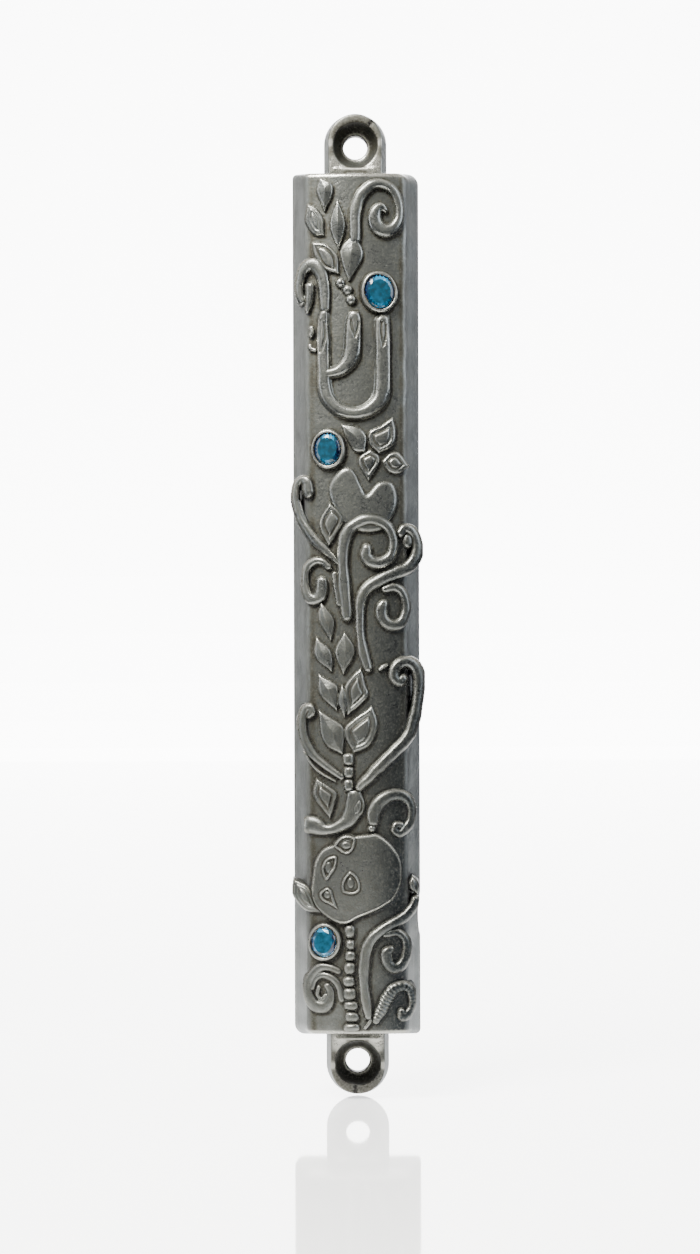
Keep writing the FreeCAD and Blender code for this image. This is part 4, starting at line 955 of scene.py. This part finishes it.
def lug_casting(sign, material):
    """A screw lug as a ring of profiles round the hole's axis.

    Each profile goes up the hole, over the bowl of the countersink, across the soft rim, down the
    drafted outside and back along the wall. The outside is the lug's round end as far as its
    centre's height, then the straight side, then the root, each as a distance from the hole's axis.
    """
    angle = np.linspace(0, 2 * math.pi, 181)[:-1][:, None]
    sin_a, cos_a = np.sin(angle), np.cos(angle)
    root = (HOLE_Z - LUG_ROOT) / np.maximum(-cos_a, 1e-6)
    rise = ARCH_Z - HOLE_Z

    def outline(r):
        arch = rise * cos_a + np.sqrt(np.maximum(r * r - (rise * sin_a) ** 2, 0))
        side = r / np.maximum(np.abs(sin_a), 1e-6)
        return np.where(side * cos_a >= rise, arch, np.minimum(side, root))

    def across_all(values):
        return values + 0 * angle

    t = np.linspace(0, 1, 8)[None, :]
    s = np.linspace(0.06, 1, 16)[None, :]
    over = np.linspace(0, 1, 9)[None, 1:]
    down = np.linspace(0, 1, 10)[None, 1:]
    back = np.linspace(1, 0, 5)[None, 1:-1]
    front = outline(LUG_R_FRONT)
    # the bowl's mouth is not quite round
    mouth = SINK_R + 0.06 * np.sin(2 * angle + sign) + 0.04 * np.sin(5 * angle)
    # a nick across the rim, up and to the right on the top lug, and at the end of the bottom one
    nick = np.exp(-((angle - (0.62 if sign > 0 else 6.2)) / 0.075) ** 2)
    hole = (across_all(HOLE_R + 0 * t), across_all(-HOLE_LENGTH * t))
    bowl = (HOLE_R + (mouth - HOLE_R) * np.sin(s * math.pi / 2) ** 0.9,
            across_all(-HOLE_LENGTH - (LUG_DEPTH - HOLE_LENGTH - LUG_RIM) * s ** 1.35))
    rim = (mouth + (front - mouth) * over,
           -LUG_DEPTH + LUG_RIM * (2 * over - 1) ** 4 + 0.22 * nick * (1 - over * 0.6))
    side = (outline(LUG_R_FRONT + (LUG_R_WALL - LUG_R_FRONT) * down),
            across_all(-LUG_DEPTH + LUG_RIM + (LUG_DEPTH - LUG_RIM) * down))
    wall = (HOLE_R + (outline(LUG_R_WALL) - HOLE_R) * back, across_all(0 * back))
    r, y = (np.hstack([part[k] for part in (hole, bowl, rim, side, wall)]) for k in (0, 1))
    x, z = r * sin_a, HOLE_Z + r * cos_a
    # the root lies inside the case's end, so it keeps off the wall
    y = np.where((z < HALF_HEIGHT + 0.05) & (y > LUG_UNDERCUT), LUG_UNDERCUT, y)
    # a low bar across the foot of the lug's face
    bar = np.exp(-((z - 66.75) / 0.17) ** 2) * ease(3.5, 3.2, np.abs(x)) * (y < -LUG_DEPTH + 0.5)
    y = y - 0.22 * bar
    points = np.stack([x, y, z * sign], axis=-1)
    quads = grid_quads(*x.shape, close_rows=True, close_columns=True)
    if sign < 0:
        quads = quads[:, ::-1]
    # painted shade and highlights on the lug: the bowl is darker towards the lug's end and the rim away
    # from its root flats, and the rim's sides, the root flats and the bar get painted highlights; the nick
    # holds blacking, and the bore is dark
    far = 0.5 + 0.5 * cos_a
    highlight_patch = np.exp(-((z - HOLE_Z - 0.4) / 0.45) ** 2) * ease(3.4, 3.7, np.abs(x))
    flat = ease(-0.35, -0.65, cos_a) * ease(0.35, 0.6, np.abs(sin_a))
    zeros = [across_all(0 * part) for part in (t, s, over, down, back)]
    blacking_and_shade = np.hstack([across_all(0.9 + 0 * t), 0.16 + 0.62 * far * (1 - 0.25 * s),
                        1.4 * nick + 0.6 * (1 - flat) * (1 - 0.5 * over), *zeros[3:]])
    lip = np.exp(-((s - 0.06) / 0.05) ** 2)
    worn_and_highlight = np.hstack([zeros[0], across_all(0.5 * lip),
                        (1 - nick) * 0.12 + 0.9 * flat * (1 - (2 * over - 1) ** 2), *zeros[3:]])
    worn_and_highlight = worn_and_highlight + 1.4 * np.clip(highlight_patch, 0, 1) * (y < -LUG_DEPTH + 0.3) + 0.8 * bar
    marks = {"blacking_and_shade": blacking_and_shade, "deep": blacking_and_shade * 0.5, "worn_and_highlight": np.clip(worn_and_highlight, 0, 1),
             "side": np.hstack([*zeros[:3], across_all(1 + 0 * down), zeros[4]])}
    name = "lug_top" if sign > 0 else "lug_bottom"
    return put_piece(name + "_casting", points, quads, "case", material, (name,), marks)


def set_on_front(points, x, z):
    """Stands a shape made about the origin, facing -Y, square on the crowned front at a place."""
    lean = math.asin(x / CROWN_R)
    c, s = math.cos(lean), math.sin(lean)
    turned = np.stack([points[..., 0] * c - points[..., 1] * s, points[..., 0] * s + points[..., 1] * c,
                       points[..., 2]], axis=-1)
    return turned + np.array([x, float(crown(x)), z])


def leaned(across, level, up, degrees):
    """An oval's points with its long axis leaning, then turned to face -Y at a level above the front."""
    a = math.radians(degrees)
    return np.stack([across * math.cos(a) - up * math.sin(a), -level + 0 * across,
                     across * math.sin(a) + up * math.cos(a)], axis=-1)


def bezel_casting(place, material):
    """A bezel: a soft ring of oval section round the stone, with a flared foot sunk in the front."""
    x, z, half_x, half_z, lean = STONES[place]
    angle = np.linspace(0, 2 * math.pi, 129)[:-1][:, None]
    outwards = np.array([0.03, 0.03, 0.06, 0.14, 0.26, 0.40, 0.52, 0.60, 0.66, 0.72, 0.78, 0.4])[None, :]
    level = np.array([-0.5, 0.75, 0.98, 1.10, 1.15, 1.12, 1.0, 0.8, 0.45, 0.1, -0.5, -0.55]) + 0 * angle
    wobble = 1 + 0.05 * np.sin(3 * angle + x) + 0.04 * np.sin(5 * angle + z)
    across = (half_x + outwards * wobble * 0.92) * np.cos(angle)
    up = (half_z + outwards * wobble) * np.sin(angle)
    points = set_on_front(leaned(across, level, up, lean), x, z)
    quads = grid_quads(*across.shape, close_rows=True, close_columns=True)[:, ::-1]
    top = np.exp(-((level - 1.12) / 0.12) ** 2)
    foot = ease(0.5, 0.0, level)
    groove = (outwards < 0.05) * 1.0 + 0 * angle
    marks = {"blacking_and_shade": np.maximum(foot * 0.7, groove), "deep": 0.3 + foot * 0.4, "worn_and_highlight": top * 0.45,
             "side": 0 * across}
    return put_piece("bezel_" + place + "_casting", points, quads, "case", material,
                     ("bezel_" + place,), marks)


def faceted_stone(place, material):
    """A cut oval stone: rings of corners, each turned half a step from the last, joined by flat facets.

    The light that the foil cup sends back through each facet is painted as a mark on the face: painted
    shade and painted highlights, facet by facet. The outer facets are darker up and to the left and
    brighter low down. The inner ones are pale up and to the right and brighter low down, and on the
    two lower stones they are dark at the right.
    """
    x, z, half_x, half_z, lean = STONES[place]
    count, shimmer = CUTS[place]
    rings = [(0.42, 0.10, 0.0), (0.60, 0.60, 0.5), (0.90, 0.99, 0.0), (1.02, 0.99, 0.0),
             (1.36, 0.88, 0.5), (1.54, 0.72, 0.0)]
    points = []
    for level, share, offset in rings:
        a = 2 * math.pi * (np.arange(count) + offset) / count
        points.append(leaned(half_x * share * np.cos(a), level, half_z * share * np.sin(a), lean))
    points = np.array([set_on_front(p, x, z) for p in points]).reshape(-1, 3)
    faces, light = [], []
    for ring, ((_, _, here), (_, _, there)) in enumerate(zip(rings, rings[1:])):
        for i in range(count):
            j = (i + 1) % count
            a, b = ring * count + i, ring * count + j
            c, d = (ring + 1) * count + j, (ring + 1) * count + i
            turn = 2 * math.pi * (i + 0.5) / count + math.radians(lean)
            up, left = math.sin(turn), -math.cos(turn)
            outer = 0.24 + 0.42 * max(-up, 0) ** 2 - 0.26 * max(up + left, 0) / 1.4
            inner = 0.36 + 0.5 * max(0.94 * up - 0.34 * left, 0) ** 3 + 0.3 * max(-up, 0) ** 3
            if place != "top":
                inner -= 0.3 * max(-left - 0.2 * up, 0) ** 2
            # a painted glint that changes from facet to facet
            glint = shimmer * math.sin(7 * turn + x + z)
            if here == there:
                faces.append((a, b, c, d))
                light.append(outer - 0.1)
            elif there > here:
                faces += [(a, b, d), (b, c, d)]
                light += [outer + glint, inner - 0.15]
            else:
                faces += [(a, b, c), (a, c, d)]
                light += [inner - 0.1, inner + glint]
    last = (len(rings) - 1) * count
    faces += [tuple(range(count))[::-1], tuple(range(last, last + count))]
    light += [0.4, 0.44]
    mesh = bpy.data.meshes.new("stone_" + place + "_cut")
    mesh.from_pydata((points * MM).tolist(), [], faces)
    layer = mesh.attributes.new("returned_light", "FLOAT", "FACE")
    layer.data.foreach_set("value", np.clip(light, 0.0, 1.0))
    mesh.materials.append(material)
    piece = add_object("stone_" + place + "_cut", mesh)
    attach(piece, "case")
    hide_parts("stone_" + place)
    return piece


pewter = antiqued_pewter()
glass = sapphire_glass()
finish_kept_nodes()
case_casting(pewter)
for sign in (1, -1):
    lug_casting(sign, pewter)
for place in STONES:
    bezel_casting(place, pewter)
    faceted_stone(place, glass)
for motif, field in OWN.items():
    relief_piece(motif, field, pewter)


# ---------------------------------------------------------------- studio

def stage_sheet(name, y, z, half_width, roughness, glow):
    """A white sheet that runs back through the given places, each with its half width, and glows."""
    material, tree, shader, _ = new_material(name + "_acrylic")
    feed(tree, shader, {"Base Color": "#ffffff", "Roughness": roughness,
                        "Emission Color": "#ffffff", "Emission Strength": glow})
    x = np.outer([-1, 1], half_width)
    points = np.stack(np.broadcast_arrays(x, y[None, :], z[None, :]), axis=-1)
    mesh = bpy.data.meshes.new(name)
    mesh.from_pydata(points.reshape(-1, 3).tolist(), [], grid_quads(2, len(y)).tolist())
    mesh.materials.append(material)
    sheet = add_object(name, mesh)


def studio():
    """A glossy strip of floor that widens towards the back, and a bright backdrop that curves up behind."""
    back, bend, tall = 1.2, 0.6, 1.6  # where the floor ends, the curve's radius, the backdrop's height
    stage_sheet("floor", np.array([-0.13, back]), np.array([FLOOR_Z, FLOOR_Z]),
                np.array([0.06, 0.25]), 0.05, 1.0)
    turn = np.linspace(0, math.pi / 2, 14)
    stage_sheet("backdrop", np.append(back + bend * np.sin(turn), back + bend),
                np.append(bend - bend * np.cos(turn), tall) + FLOOR_Z,
                np.linspace(0.25, 0.4, 15), 0.6, 9.0)


def soft_light(name, place, aim, size, power, colour):
    """A rectangular light of a size in metres and a power in watts, turned towards a place."""
    light = bpy.data.lights.new(name, "AREA")
    light.shape = "RECTANGLE"
    light.size, light.size_y = size
    light.energy = power
    light.color = linear(colour)[:3]
    lamp = add_object(name, light)
    lamp.location = place
    lamp.rotation_euler = Vector(np.array(aim) - np.array(place)).to_track_quat("-Z", "Y").to_euler()


def camera():
    """A camera 3.6 mm below the case's middle, 480 mm from the wall, leaning by a sixth of a degree."""
    data = bpy.data.cameras.new("camera")
    data.sensor_width = 36.0
    data.lens = 88.8
    data.clip_end = 20.0
    eye = add_object("camera", data)
    eye.location = (-0.00102, -0.480, -0.00356)
    eye.rotation_euler = (math.pi / 2, 0.0029, 0.0)
    bpy.context.scene.camera = eye


def studio_air():
    """The room round the object: light above and a little to the left, falling to dusk below."""
    world = bpy.data.worlds.new("studio_air")
    world.use_nodes = True
    tree = world.node_tree
    background = tree.nodes["Background"]
    add = partial(add_node, tree)
    towards = add("TexCoord", output="Generated")
    height = add("VectorMath.DOT_PRODUCT", towards, (-0.15, 0.0, 0.99), output="Value")
    level = add("Math.MULTIPLY_ADD", height, 0.5, 0.5)
    colour = add("ValToRGB", level, stops=[(0.3, "#34393f"), (0.46, "#5d6266"), (0.6, "#bcbab3"),
                                           (0.9, "#e2e0d8")])
    feed(tree, background, {"Color": colour, "Strength": 1.05})
    bpy.context.scene.world = world


studio()
soft_light("key", (-0.2, -0.34, 0.42), (0, 0, 0.02), (0.22, 0.22), 10.0, "#fffdf6")
soft_light("left_strip", (-0.55, -0.16, 0.05), (0, 0, 0), (0.10, 0.7), 1.2, "#eef3fa")
soft_light("right_strip", (0.5, -0.12, 0.2), (0, 0, 0.04), (0.24, 0.5), 2.4, "#e6eef8")
camera()
studio_air()
